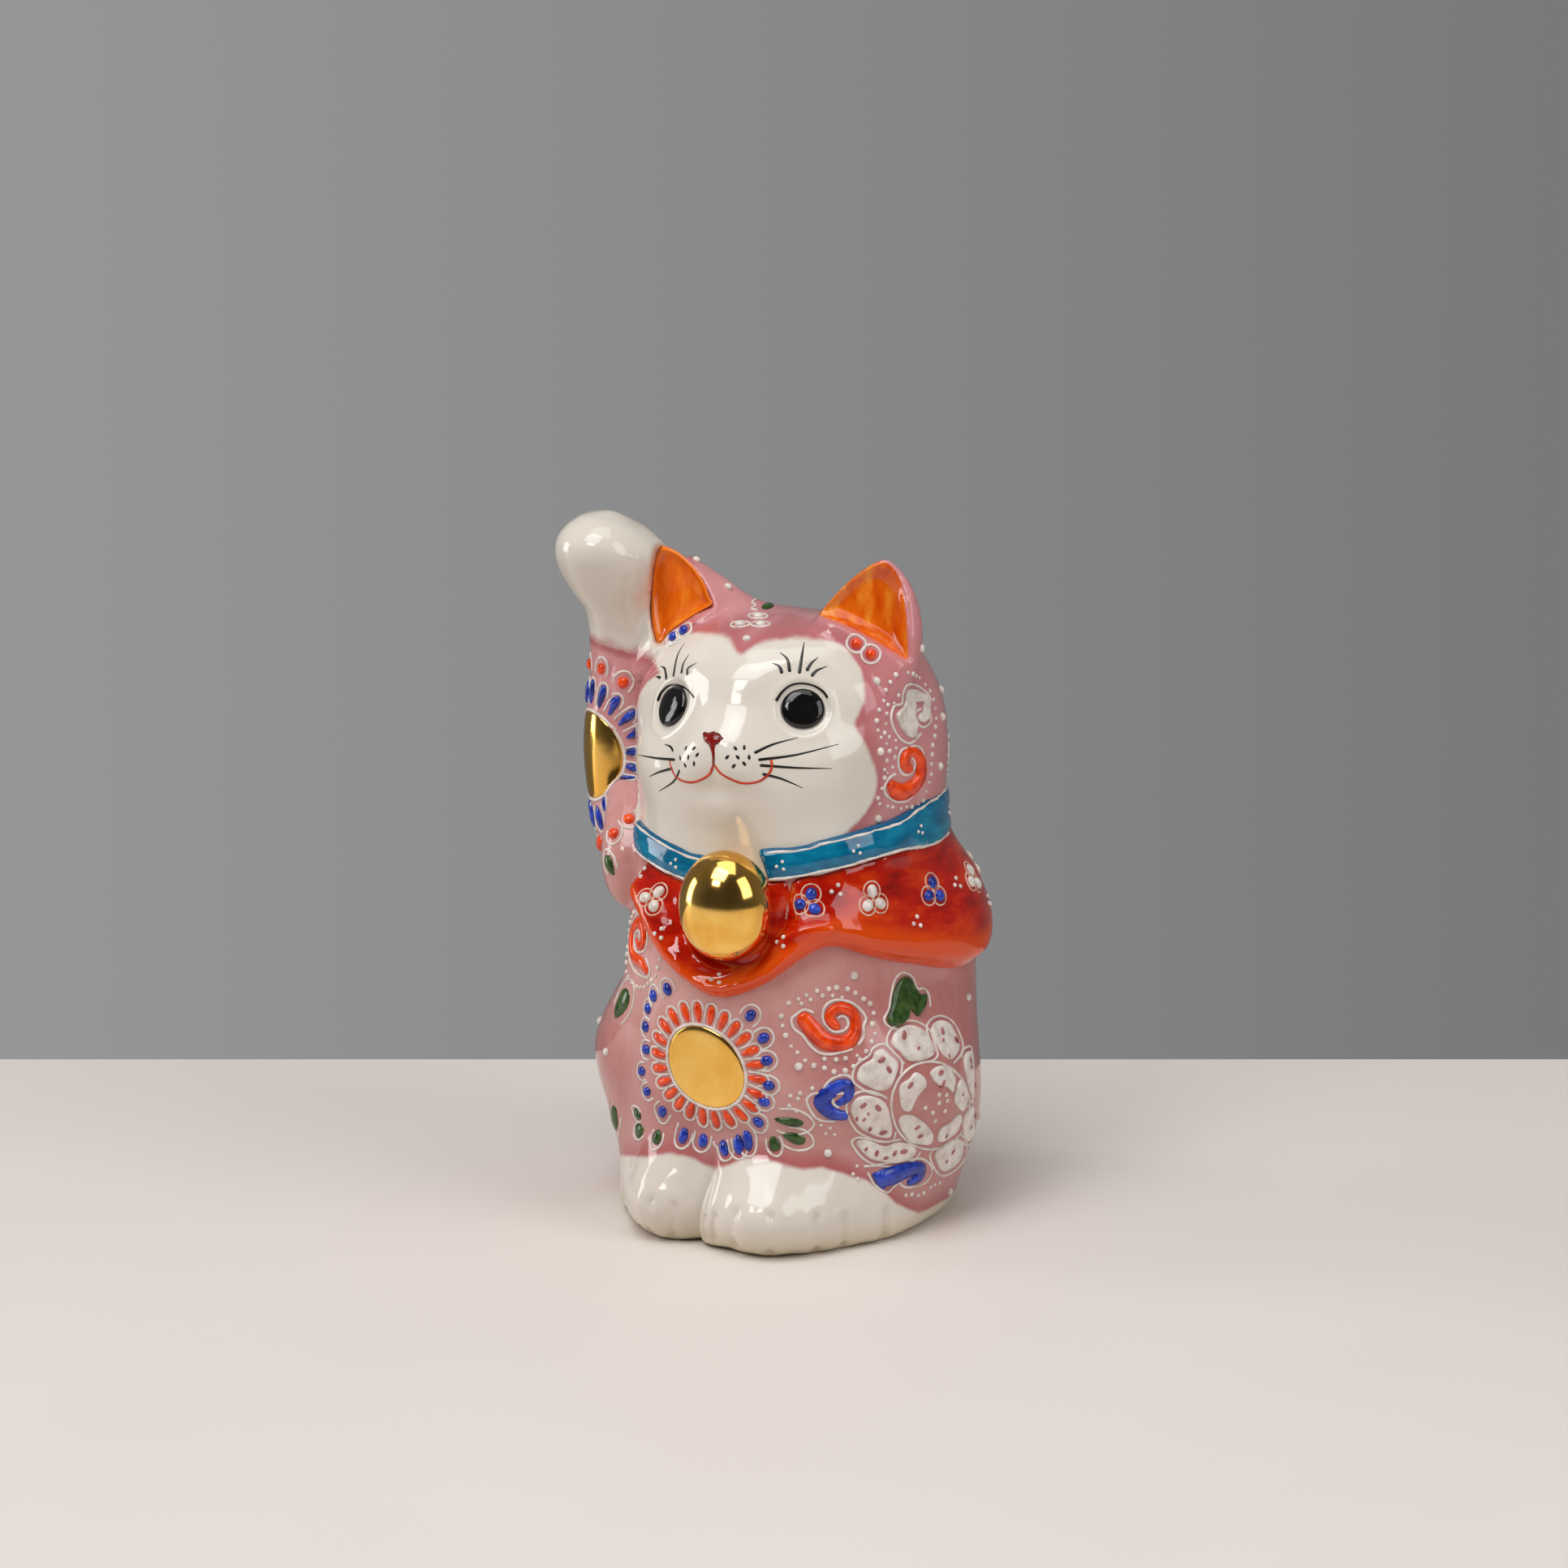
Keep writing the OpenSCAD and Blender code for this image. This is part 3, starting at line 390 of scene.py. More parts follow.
def one_skin(bm, voxel, rounds):
    """The solids grown into one skin, softened as a flowing glaze softens them."""
    blank = bpy.data.objects.new("blank", mesh_of(bm, "blank"))
    bpy.context.scene.collection.objects.link(blank)
    grown = blank.modifiers.new("grown", "REMESH")
    grown.mode = "VOXEL"
    grown.voxel_size = voxel * MM
    soft = blank.modifiers.new("soft", "SMOOTH")
    soft.factor = 0.5
    soft.iterations = rounds
    mesh = bpy.data.meshes.new_from_object(blank.evaluated_get(bpy.context.evaluated_depsgraph_get()))
    bpy.data.objects.remove(blank)
    return mesh


def finer(mesh, test):
    """Splits the faces whose middle a test picks, for crisper modelling there."""
    bm = bmesh.new()
    bm.from_mesh(mesh)
    edges = {e for f in bm.faces if test(f.calc_center_median() / MM) for e in f.edges}
    bmesh.ops.subdivide_edges(bm, edges=list(edges), cuts=1, use_grid_fill=True)
    bm.to_mesh(mesh)
    bm.free()


def points_of(mesh):
    """A mesh's points and normals in millimetres."""
    co = np.empty(len(mesh.vertices) * 3)
    mesh.vertices.foreach_get("co", co)
    normals = np.empty(len(mesh.vertices) * 3)
    mesh.vertex_normals.foreach_get("vector", normals)
    return co.reshape(-1, 3) / MM, normals.reshape(-1, 3)


def put_points(mesh, co):
    """Moves a mesh's points to places in millimetres."""
    mesh.vertices.foreach_set("co", (co * MM).ravel())
    mesh.update()


def note(mesh, name, values):
    """Keeps a number for each point, for the material to read."""
    mesh.attributes.new(name, "FLOAT", "POINT").data.foreach_set("value", np.asarray(values, np.float32))


def azimuth(co):
    """Degrees round from the cat's front towards its left."""
    return np.degrees(np.arctan2(co[:, 0], -co[:, 1]))


def bump(x, w):
    """A rounded hump of height 1 at nought, falling off over w both ways."""
    return np.exp(-x ** 2 / (2 * w ** 2))


def ramp(x, low, high):
    """A soft step from 0 at low to 1 at high."""
    t = np.clip((x - low) / (high - low), 0, 1)
    return t * t * (3 - 2 * t)


def swells(az, z, forms):
    """The rise that a table of swells and hollows gives at each azimuth and height."""
    return sum(rise * bump(az - a, aw) * bump(z - h, hw) for a, h, rise, aw, hw in forms)


def from_line(co, line):
    """Distance of each point from a line through points."""
    best = np.full(len(co), 1e9)
    for a, b in zip(line[:-1], line[1:]):
        a, b = np.array(a), np.array(b)
        ab = b - a
        t = np.clip((co - a) @ ab / max(ab @ ab, 1e-9), 0, 1)
        best = np.minimum(best, np.linalg.norm(co - a - t[:, None] * ab, axis=1))
    return best


def inside(uv, outline):
    """Signed distance into a closed outline of (u, v) points."""
    loop = [np.array(p) for p in outline]
    loop.append(loop[0])
    within = np.zeros(len(uv), bool)
    for a, b in zip(loop[:-1], loop[1:]):
        crosses = (a[1] > uv[:, 1]) != (b[1] > uv[:, 1])
        at = a[0] + (uv[:, 1] - a[1]) / (b[1] - a[1] if b[1] != a[1] else 1e-9) * (b[0] - a[0])
        within ^= crosses & (uv[:, 0] < at)
    return from_line(uv, loop) * np.where(within, 1, -1)


def relaxed(mesh, co, weight, rounds):
    """Points eased towards their neighbours, as far as each one's weight allows."""
    ends = np.empty(len(mesh.edges) * 2, np.int32)
    mesh.edges.foreach_get("vertices", ends)
    a, b = ends[::2], ends[1::2]
    near = (weight[a] > 0) | (weight[b] > 0)
    a, b = a[near], b[near]
    count = np.maximum(np.bincount(a, minlength=len(co)) + np.bincount(b, minlength=len(co)), 1)
    for _ in range(rounds):
        pull = [np.bincount(a, co[b, k], len(co)) + np.bincount(b, co[a, k], len(co)) for k in range(3)]
        co = co + 0.5 * weight[:, None] * (np.stack(pull, 1) / count[:, None] - co)
    return co


# The casting: torso, head, ears, foreleg and tail under one glaze

TORSO_R, HEAD_R, HEAD_REACH = 40, 34, 39
FOOT_DISC_R, FOOT_DISC_DEEP, FOOT_DISC_Z = 28, 4, 5.5
FORELEG_AXIS, FORELEG_REACH = (-38.2, -5.0), 10.3
ELBOW_AT, ELBOW_HALF, ELBOW_TIP = (-29.9, -20.7, 82.0), (6.0, 7.8, 12.0), (-7.0, 14.0, 8.0)
HAND_AT, HAND_HALF, HAND_SLOPE, HAND_LEAN = (-38.5, -9), (13.5, 16.5), 3.0, 1.6
WRIST_AT, WRIST_SLOPE = (-38, 130.5), 0.18
EAR_FOOT = (19.8, -7.5, 126.0)
EAR_LEAN, EAR_TURN, FACE_LEAN = 12, 19, 3
EAR_FRONT, EAR_HOLLOW, LINING_FRONT, LINING_SLOPE = -1.0, 1.7, -2.2, 0.3
EAR_CROWNS = {"left_ear": (3.0, 9.0, 135.6), "right_ear": (-3.0, 9.0, 134.6)}
RIGHT_EAR_STEP = (2.2, -2.2, 0.0)
# Behind the lining's front: where the right ear is still as wide as its lining, and the floor of its pit
RIGHT_EAR_BACKS, PIT_BACK = (2.6, 6.5), 2.4
# The lining from its back round to its bowl: share of its outline, and how far behind its front
LINING_PROFILE = ((0, 3.3), (0.8, 3.3), (0.96, 2.8), (1.0, 1.4), (1.0, 0.4), (0.985, 0.0), (0.95, -0.4),
                  (0.9, -0.2), (0.84, 0.4), (0.76, 0.9), (0.62, 1.2), (0.45, 1.4), (0.25, 1.5), (0, 1.5))
EAR_SEEN = {1: ((1090, 691), (1066, 695), (1042, 710), (1018, 734), (1003, 751), (1008, 758), (1039, 769),
                (1073, 786), (1101, 803), (1118, 812), (1120, 806), (1116, 745), (1108, 710)),
            -1: ((809, 679), (830, 677), (853, 696), (867, 717), (874, 735), (878, 744), (870, 750),
                 (853, 760), (825, 779), (810, 793), (802, 745))}
CROWN_DIP, HAUNCH_AZ, HAUNCH_RISE, PAW_LAP = 2.0, 38, 1.8, 3.2
TOE_GROOVE, TOE_SWELL, PAW_CLEFT, HAUNCH_FOLD = 0.6, 0.2, 0.7, 1.2
EYE_RIM, EYE_RIM_R, EYE_DITCH, EYE_DITCH_R = 0.4, 6.6, 0.25, 5.2
# Swells and hollows of the face, the same on both sides: azimuth, height, rise, and spread both ways
FACE_FORMS = ((9, 108.2, 1.4, 6.5, 3.8), (0, 114, 0.5, 9, 4), (0, 121, -0.5, 12, 3), (5, 126.5, 0.4, 8, 3),
              (0, 103.2, -0.8, 8, 1.8), (0, 99.4, 0.9, 10, 3.6), (30.5, 119.5, -0.8, 9.5, 5.5),
              (17, 119, -0.35, 6, 5), (26, 127.6, 0.7, 10, 3), (38, 109, 1.1, 10, 4.5),
              (50, 115.8, -0.6, 5, 3.4), (62, 121, 2.0, 12, 6), (0, 107.5, -0.5, 2.0, 3.2))
# The torso's: between and on the paws, beside the right haunch, under the foreleg, and above the paws
TORSO_FORMS = ((0, 0, 5, 3.6, 15), (-22, 9, 3.4, 10, 6), (20, 9, 4.2, 15, 6), (-66, 12, -2.2, 13, 6),
               (-64, 60, -2.0, 11, 6), (10, 25, -2.4, 36, 4.5))
# Edge of the bare ivory face: as seen, hidden as azimuth and height, and seen again at the far ear
FACE_EDGE_SEEN = ((909, 813), (929, 800), (951, 794), (992, 792), (1030, 797), (1047, 808), (1057, 826),
                  (1061, 848), (1058, 870), (1049, 892), (1055, 908), (1068, 933), (1076, 955), (1074, 980),
                  (1060, 1004), (1038, 1026))
FACE_EDGE_HIDDEN = ((30, 80), (0, 78), (-40, 80), (-58, 88), (-68, 97), (-70, 104), (-66, 111), (-60, 116),
                    (-52, 121), (-45, 124.5))
FACE_EDGE_FAR = ((811, 807), (822, 795), (838, 786), (860, 785), (879, 788), (896, 796))
# Edge of the bare ivory paws, as seen and as hidden
PAW_EDGE_SEEN = ((790, 1431), (820, 1427), (844, 1430), (859, 1436), (880, 1444), (893, 1441), (916, 1434),
                 (946, 1435), (964, 1441), (985, 1446), (1015, 1444), (1042, 1452), (1066, 1459),
                 (1090, 1473), (1105, 1488), (1129, 1500))
PAW_EDGE_HIDDEN = ((-180, 3), (-120, 3), (-80, 4), (-62, 8), (-50, 12.5), (90, 3), (120, 3), (180, 3))
EYES_SEEN = ((989, 874), (831, 871))
TOES_SEEN = (((802, 1479), (801, 1518)),
             ((830, 1486), (829, 1522)),
             ((881, 1498), (880, 1526)),
             ((907, 1494), (905, 1534)),
             ((949, 1499), (948, 1544)),
             ((1007, 1500), (1006, 1540)),
             ((1041, 1499), (1039, 1534)),
             ((1092, 1490), (1089, 1522)))
HAUNCH_FOLD_SEEN = ((782, 1215), (773, 1270), (768, 1330), (769, 1390), (775, 1425))
PAW_CLEFT_SEEN = ((881, 1446), (876, 1464), (871, 1485), (866, 1512), (868, 1526))
# Pixels of the view to a millimetre, millimetres to a degree round the head, and a place well outside a field
SEEN_PER_MM, HEAD_MM_PER_DEGREE, OUTSIDE = 5.5, 0.56, -9.0


def ear_axes(side):
    """An ear's foot and its own axes: across, back and up."""
    turn = Matrix.Rotation(radians(EAR_TURN), 3, "Z") @ Matrix.Rotation(radians(-EAR_LEAN), 3, "X")
    axes = np.array(turn)
    foot = np.array(EAR_FOOT) + (0, 0, side * EAR_FOOT[0] * np.tan(radians(FACE_LEAN)))
    if side < 0:
        axes[0] *= -1
        foot[0] *= -1
        foot = foot + axes @ RIGHT_EAR_STEP
    return foot, axes


def ear_outline(side, front, slope=0):
    """The orange field of an ear as the view shows it, on a plane across the ear's front."""
    foot, axes = ear_axes(side)
    eye_at = (np.array(camera.location) / MM - foot) @ axes
    outline = []
    for ray in (np.array(sight(*p)) @ axes for p in EAR_SEEN[side]):
        run = (front - slope * eye_at[0] - eye_at[1]) / (ray[1] + slope * ray[0])
        outline.append((eye_at + ray * run)[::2])
    return outline


def lining_point(bm, u, front, w):
    """A point at u across and w up on a sloping plane through the right ear."""
    foot, axes = ear_axes(-1)
    return bm.verts.new(Vector(foot + axes @ (u, front - LINING_SLOPE * u, w)) * MM)


def ear_blank(name):
    """An ear's solid filled out to a ridge that runs back to the crown."""
    hull = solid_copy(name)
    if name == "right_ear":
        step = ear_axes(-1)[1] @ RIGHT_EAR_STEP
        bmesh.ops.translate(hull, vec=Vector(step) * MM, verts=hull.verts)
        for back in RIGHT_EAR_BACKS:
            for u, w in ear_outline(-1, LINING_FRONT + back, LINING_SLOPE):
                lining_point(hull, u, LINING_FRONT + back, w)
    hull.verts.new(Vector(EAR_CROWNS[name]) * MM)
    made = bmesh.ops.convex_hull(hull, input=hull.verts)
    spare = {g for g in made["geom_interior"] + made["geom_unused"] if isinstance(g, bmesh.types.BMVert)}
    bmesh.ops.delete(hull, geom=list(spare), context="VERTS")
    return mesh_of(hull, name)


def cast_blank():
    """The solids as one skin, with filled ears, a disc that closes the foot and a drop-shaped elbow."""
    bm = solid_copy("torso_casting", "head_casting", "raised_foreleg", "tail")
    for name in EAR_CROWNS:
        blank = ear_blank(name)
        bm.from_mesh(blank)
        bpy.data.meshes.remove(blank)
    bmesh.ops.create_cone(bm, cap_ends=True, segments=64, radius1=FOOT_DISC_R * MM, radius2=FOOT_DISC_R * MM,
                          depth=FOOT_DISC_DEEP * MM, matrix=Matrix.Translation((0, 0, FOOT_DISC_Z * MM)))
    made = bmesh.ops.create_uvsphere(bm, u_segments=32, v_segments=24, radius=MM)
    for v in made["verts"]:
        tip = Vector(ELBOW_TIP) * max(v.co.z / MM, 0) ** 2
        v.co = (Matrix.Rotation(VIEW_AZ, 3, "Z") @ Vector(a * b for a, b in zip(v.co, ELBOW_HALF))
                + (Vector(ELBOW_AT) + tip) * MM)
    return one_skin(bm, voxel=1.0, rounds=8)


def shape_head(mesh):
    """Models the face, dips the crown between the ears and eases the ears' ridges into it."""
    co, n = points_of(mesh)
    own = [(co - foot) @ axes for foot, axes in (ear_axes(1), ear_axes(-1))]
    az, z, r = azimuth(co), co[:, 2], np.hypot(co[:, 0], co[:, 1])
    level = z - np.tan(radians(FACE_LEAN)) * HEAD_R * np.sin(np.radians(az))
    both_sides = [(side * a, *form) for a, *form in FACE_FORMS for side in ((1, -1) if a else (1,))]
    face = ramp(z, 91, 96) * (r < HEAD_REACH) * (co[:, 1] < 8)
    co = co + n * (face * swells(az, level, both_sides))[:, None]
    co[:, 2] -= CROWN_DIP * bump(co[:, 0] - 1, 9) * ramp(z, 126, 134) * ramp(co[:, 1], -24, -8)
    behind_ears = ramp(own[0][:, 1], 2, 5) * ramp(own[1][:, 1], 2, 5)
    crown = ramp(z, 127, 131) * behind_ears * (1 - ramp(z, 144, 148)) * (r < 36)
    put_points(mesh, relaxed(mesh, co, crown, rounds=40))


def room_for_lining(mesh, co):
    """Sinks what stands before the right ear's lining along the lines of sight, and eases the pit's edge."""
    foot, axes = ear_axes(-1)
    own = (co - foot) @ axes
    eye_at = (np.array(camera.location) / MM - foot) @ axes
    floor = LINING_FRONT + PIT_BACK
    depth_in = inside(np.stack(in_view(co), 1), through(EAR_SEEN[-1], steps=5, closed=True)[:-1])
    before = (own[:, 1] + LINING_SLOPE * own[:, 0] < floor) & (co[:, 1] < 0) & (own[:, 1] > -14)
    sunk = before & (depth_in > -0.3)
    ray = own[sunk] - eye_at
    run = (floor - LINING_SLOPE * eye_at[0] - eye_at[1]) / (ray[:, 1] + LINING_SLOPE * ray[:, 0])
    co[sunk] = foot + (eye_at + ray * run[:, None]) @ axes.T
    return relaxed(mesh, co, before * ramp(depth_in, -9, -3) * (1 - ramp(depth_in, 1, 4)), rounds=8)


def shape_ears(mesh):
    """Hollows the left ear and notes its orange field, and makes room for the right ear's lining."""
    co, n = points_of(mesh)
    foot, axes = ear_axes(1)
    own = (co - foot) @ axes
    face = inside(own[:, ::2], through(ear_outline(1, EAR_FRONT), steps=5, closed=True)[:-1])
    front = (n @ axes[:, 1] < 0.3) & (face > -2) & (own[:, 1] > -9) & (own[:, 1] < 4)
    target = EAR_FRONT + EAR_HOLLOW * ramp(face, 0.7, 3.6)
    back = np.where(front & (own[:, 1] < target), (target - own[:, 1]) * ramp(face, -0.6, 0.6), 0)
    field = np.where(front, face, OUTSIDE)
    co = room_for_lining(mesh, co + back[:, None] * axes[:, 1])
    put_points(mesh, relaxed(mesh, co, ramp(field, -2.0, 0.5), rounds=6))
    note(mesh, "ear", field)


def ear_lining():
    """The right ear's bowl of glaze as a piece of its own, its rim clear of the raised paw beside it."""
    bm = bmesh.new()
    rings, edge = [], []
    for share, back in LINING_PROFILE:
        front = LINING_FRONT + back
        rim = np.array(through(ear_outline(-1, front, LINING_SLOPE), closed=True)[:-1])
        middle = rim.mean(axis=0)
        ring = middle + (rim - middle) * share if share else [middle]
        rings.append([lining_point(bm, u, front, w) for u, w in ring])
        edge += [0.8 * (0.86 < share < 0.99)] * len(rings[-1])
    bridge(bm, rings)
    bmesh.ops.recalc_face_normals(bm, faces=bm.faces)
    mesh = mesh_of(bm, "right_ear_lining")
    note(mesh, "edge", edge)
    return mesh


def shape_hand(mesh):
    """The raised paw leans out over its wrist and slopes down towards the ear."""
    co = points_of(mesh)[0]
    across = np.array(rightward)
    u, z = (co - (*FORELEG_AXIS, 0)) @ across, co[:, 2].copy()
    paw = (co[:, 0] < -24) & (z > 128)
    co[:, 2] -= np.where(paw, HAND_SLOPE * ramp(u, -6, 8) * ramp(z, 136, 148), 0)
    co -= np.where(paw, HAND_LEAN * bump(z - 147, 5) * ramp(-u, 2, 9), 0)[:, None] * across
    put_points(mesh, co)


def shape_torso(mesh):
    """Full paws, the left one lapping over the right, and the haunch standing out beside the belly."""
    co = points_of(mesh)[0]
    az, z, r = azimuth(co), co[:, 2], np.hypot(co[:, 0], co[:, 1])
    fill = swells(az, z, TORSO_FORMS) + HAUNCH_RISE * bump(np.abs(az) - HAUNCH_AZ, 6) * ramp(40 - z, 0, 26)
    x, y = in_view(co)
    aside = (x - np.interp(y, *zip(*((v, u) for u, v in PAW_CLEFT_SEEN)))) / SEEN_PER_MM
    rolled = 1 - np.sqrt(1 - np.clip(1 - aside / 4.5, 0, 1) ** 2)
    lapped = np.exp(np.minimum(aside, 0) / 6)
    fill -= PAW_LAP * np.where(aside > 0, rolled, lapped) * (1 - ramp(z, 17, 24)) * (np.abs(az) < 50)
    co[:, :2] *= 1 + (fill * (z < 80) / r)[:, None]
    put_points(mesh, co)


def carve(mesh):
    """Grooves between toes and paws, the fold of the haunch and the raised rims round the eyes."""
    skin = skin_of(mesh)
    co, n = points_of(mesh)
    move = np.zeros(len(co))

    def off(points):
        return from_line(co, [seen(skin, *p) for p in points])

    for toe in TOES_SEEN:
        far = off(toe)
        move += TOE_SWELL * bump(far - 2.2, 1.2) - TOE_GROOVE * bump(far, 0.6)
    move -= PAW_CLEFT * bump(off(through(PAW_CLEFT_SEEN, steps=3)), 0.7)
    move -= HAUNCH_FOLD * bump(off(through(HAUNCH_FOLD_SEEN, steps=3)), 4)
    for spot in EYES_SEEN:
        far = np.linalg.norm(co - np.array(seen(skin, *spot)), axis=1)
        move += EYE_RIM * bump(far - EYE_RIM_R, 0.8) - EYE_DITCH * bump(far - EYE_DITCH_R, 0.6)
    put_points(mesh, co + n * move[:, None])


def on_elbow(co):
    """Which points lie on the drop-shaped elbow or close to it."""
    half, tip, up = ELBOW_HALF[2], ELBOW_TIP[2], co[:, 2] - ELBOW_AT[2]
    bent = (np.sqrt(half ** 2 + 4 * tip * np.abs(up)) - half) / (2 * tip)
    rise = np.where(up < 0, up / half, bent)
    own = co - ELBOW_AT - np.maximum(rise, 0)[:, None] ** 2 * np.array(ELBOW_TIP)
    own = own @ np.array(Matrix.Rotation(VIEW_AZ, 3, "Z")) / ELBOW_HALF
    return own[:, 0] ** 2 + own[:, 1] ** 2 + rise ** 2 < 1.2


def colour_zones(mesh):
    """Notes, for each point, how far it lies inside the pink wash and how far its foot is made darker and
    yellower.
    """
    skin = skin_of(mesh)
    co = points_of(mesh)[0]
    az, z, r = azimuth(co), co[:, 2], np.hypot(co[:, 0], co[:, 1])

    def flat(points):
        at = np.array([seen(skin, *p) for p in points])
        return list(zip(azimuth(at), at[:, 2]))

    edge = flat(FACE_EDGE_SEEN) + list(FACE_EDGE_HIDDEN) + flat(FACE_EDGE_FAR)
    edge = [(a * HEAD_MM_PER_DEGREE, h) for a, h in through(edge, steps=4, closed=True)[:-1]]
    foreleg = np.hypot(co[:, 0] - FORELEG_AXIS[0], co[:, 1] - FORELEG_AXIS[1]) < FORELEG_REACH
    head = (r < HEAD_REACH) & (z > 84) & ~foreleg & ~on_elbow(co)
    face = np.where(head, inside(np.stack([az * HEAD_MM_PER_DEGREE, z], 1), edge), OUTSIDE)
    paws = np.interp(az, *zip(*sorted(flat(PAW_EDGE_SEEN) + list(PAW_EDGE_HIDDEN)))) - z
    ear = np.empty(len(co), np.float32)
    mesh.attributes["ear"].data.foreach_get("value", ear)
    wrist = WRIST_AT[1] - WRIST_SLOPE * (co[:, 0] - WRIST_AT[0]) - z
    hand = np.where((z > 112) & (ear < -2), -0.35 * wrist - 6 * ramp(wrist, 3.5, 7), OUTSIDE)
    aside = np.hypot((co[:, 0] - HAND_AT[0]) / HAND_HALF[0], (co[:, 1] - HAND_AT[1]) / HAND_HALF[1])
    hand = np.minimum(hand, 13 * (1 - aside))
    note(mesh, "wash", -np.maximum(np.maximum(face, paws), hand) - 0.8)
    # How far the foot is darker and yellower: most at the floor, on its outside only
    note(mesh, "foot", 0.75 * ramp(z, 7, 0.5) * ramp(r, 30, 36))


def crisp_zone(c):
    """Where the casting is modelled more finely: paws, face and the ears' fronts."""
    paws = c.y < -14 and c.z < 24
    face = c.y < -14 and 98 < c.z < 126 and abs(c.x) < 32
    right_ear = c.z > 120 and -34 < c.x < -14 and c.y < 2
    left_ear = c.z > 120 and 6 < c.x < 32 and c.y < -6
    return paws or face or right_ear or left_ear


def cast_form():
    """The whole casting, modelled from its blank and divided into its colours."""
    mesh = cast_blank()
    finer(mesh, crisp_zone)
    for step in (shape_head, shape_hand, shape_ears, shape_torso, carve, colour_zones):
        step(mesh)
    return mesh


cast = cast_form()
show("glazed_casting", cast, glaze, "pink_glaze", "torso_casting", "head_casting", "left_ear", "right_ear",
     "raised_foreleg", "tail")
show("right_ear_lining", ear_lining(), orange_glaze, "vermilion_glaze")
body = skin_of(cast)
nodes["base_plate"].data.materials.clear()
nodes["base_plate"].data.materials.append(bisque_clay)


# Bib, collar and bell

BELL_AT, BELL_HALF, BELL_AZ = (4.4, -40.6, 78.5), (10.3, 9.6, 12.2), 6
COLLAR_Z, COLLAR_DIP, COLLAR_LIFT, COLLAR_R, COLLAR_TUCK = 89, 5.5, 2.5, 37, 6
BIB_TUCK, BIB_LIP, HEM_DROP = 7, 1.2, 2.2
BIB_HEM = ((-180, 68), (-120, 71), (-80, 78), (-50, 77), (-32, 73), (-12, 61), (2, 57), (16, 60), (39, 69),
           (70, 64.5), (104, 59.5), (140, 64.5), (180, 68))
CRADLE_SEEN = ((840, 1110), (843, 1138), (852, 1172), (876, 1193), (905, 1192), (932, 1180), (960, 1162),
               (985, 1149), (1023, 1144))


def thickened(name, depth):
    """A band's solid with its inner skin pushed into the casting, so that its edges stay whole."""
    bm = solid_copy(name)
    for v in bm.verts:
        at, n, *_ = body.find_nearest(v.co / MM)
        if (v.co / MM - at).dot(n) < 0.3:
            v.co -= Vector((v.co.x, v.co.y, 0)).normalized() * depth * MM
    return bm


def under_foreleg(az, low, high):
    """How far a band is tucked in where it runs under the raised foreleg."""
    return ramp(-az, low, high) * (1 - ramp(-az, 80, 88))


def collar_mid(az):
    """Height of the collar solid's middle, which hangs lower at the bell."""
    return COLLAR_Z - COLLAR_DIP * bump(az - BELL_AZ, 30)


def collar_lift(az):
    """How much higher the collar stands on the cat's left."""
    return COLLAR_LIFT * ramp(az, BELL_AZ, 14) * (1 - ramp(az, 110, 150))


def collar_swell(az):
    """How much broader the collar is on the cat's left."""
    return 1 + (0.1 + 0.6 * ramp(az, 66, 92)) * ramp(az, BELL_AZ, 14) * (1 - ramp(az, 115, 150))


def bib_form():
    """The bib with the rolled lip that cradles the bell, its end tucked under the raised foreleg."""
    mesh = one_skin(thickened("bib", depth=3), voxel=0.7, rounds=10)
    skin = skin_of(mesh)
    co, n = points_of(mesh)
    az = azimuth(co)
    lip = from_line(co, [seen(skin, *p) for p in through(CRADLE_SEEN, steps=4)])
    share = np.hypot((co[:, 0] - BELL_AT[0]) / BELL_HALF[0], (co[:, 2] - BELL_AT[2]) / BELL_HALF[2])
    move = BIB_LIP * bump(lip, 1.2) - 0.9 * bump(share - 1.14, 0.07) * (co[:, 1] < -20)
    co = co + n * move[:, None]
    tuck = BIB_TUCK * under_foreleg(az, 34, 41)
    co[:, :2] *= 1 - (tuck / np.hypot(co[:, 0], co[:, 1]))[:, None]
    above_hem = co[:, 2] - np.interp(az, *zip(*through(BIB_HEM, steps=8)))
    co[:, 2] -= HEM_DROP * ramp(az, 36, 56) * (1 - ramp(az, 108, 130)) * (1 - ramp(above_hem, 2, 14))
    co[:, 2] += collar_lift(az) * ramp(above_hem, 9, 15)
    put_points(mesh, co)
    broad = 2.6 * ramp(az, 20, 50)
    note(mesh, "edge", 0.9 * (1 - ramp(above_hem, 3.8 + broad * 0.6, 6.4 + broad)))
    return mesh


def collar_form():
    """The collar's band, its ends drawn close to the bell, and tucked in under the raised foreleg."""
    mesh = one_skin(thickened("collar", depth=2), voxel=0.45, rounds=16)
    co, n = points_of(mesh)
    az, mid = azimuth(co), collar_mid(azimuth(co))
    x, y, z = co.T
    turn = -np.radians(4.5) * np.sign(az - BELL_AZ) * bump(az - BELL_AZ, 17)
    tuck = 1 - COLLAR_TUCK / COLLAR_R * under_foreleg(az, 47, 53)
    put_points(mesh, np.stack([(x * np.cos(turn) - y * np.sin(turn)) * tuck,
                               (x * np.sin(turn) + y * np.cos(turn)) * tuck,
                               mid + (z - mid) * collar_swell(az) + collar_lift(az)], 1))
    note(mesh, "edge", ramp(np.abs(n[:, 2]), 0.5, 0.9))
    return mesh


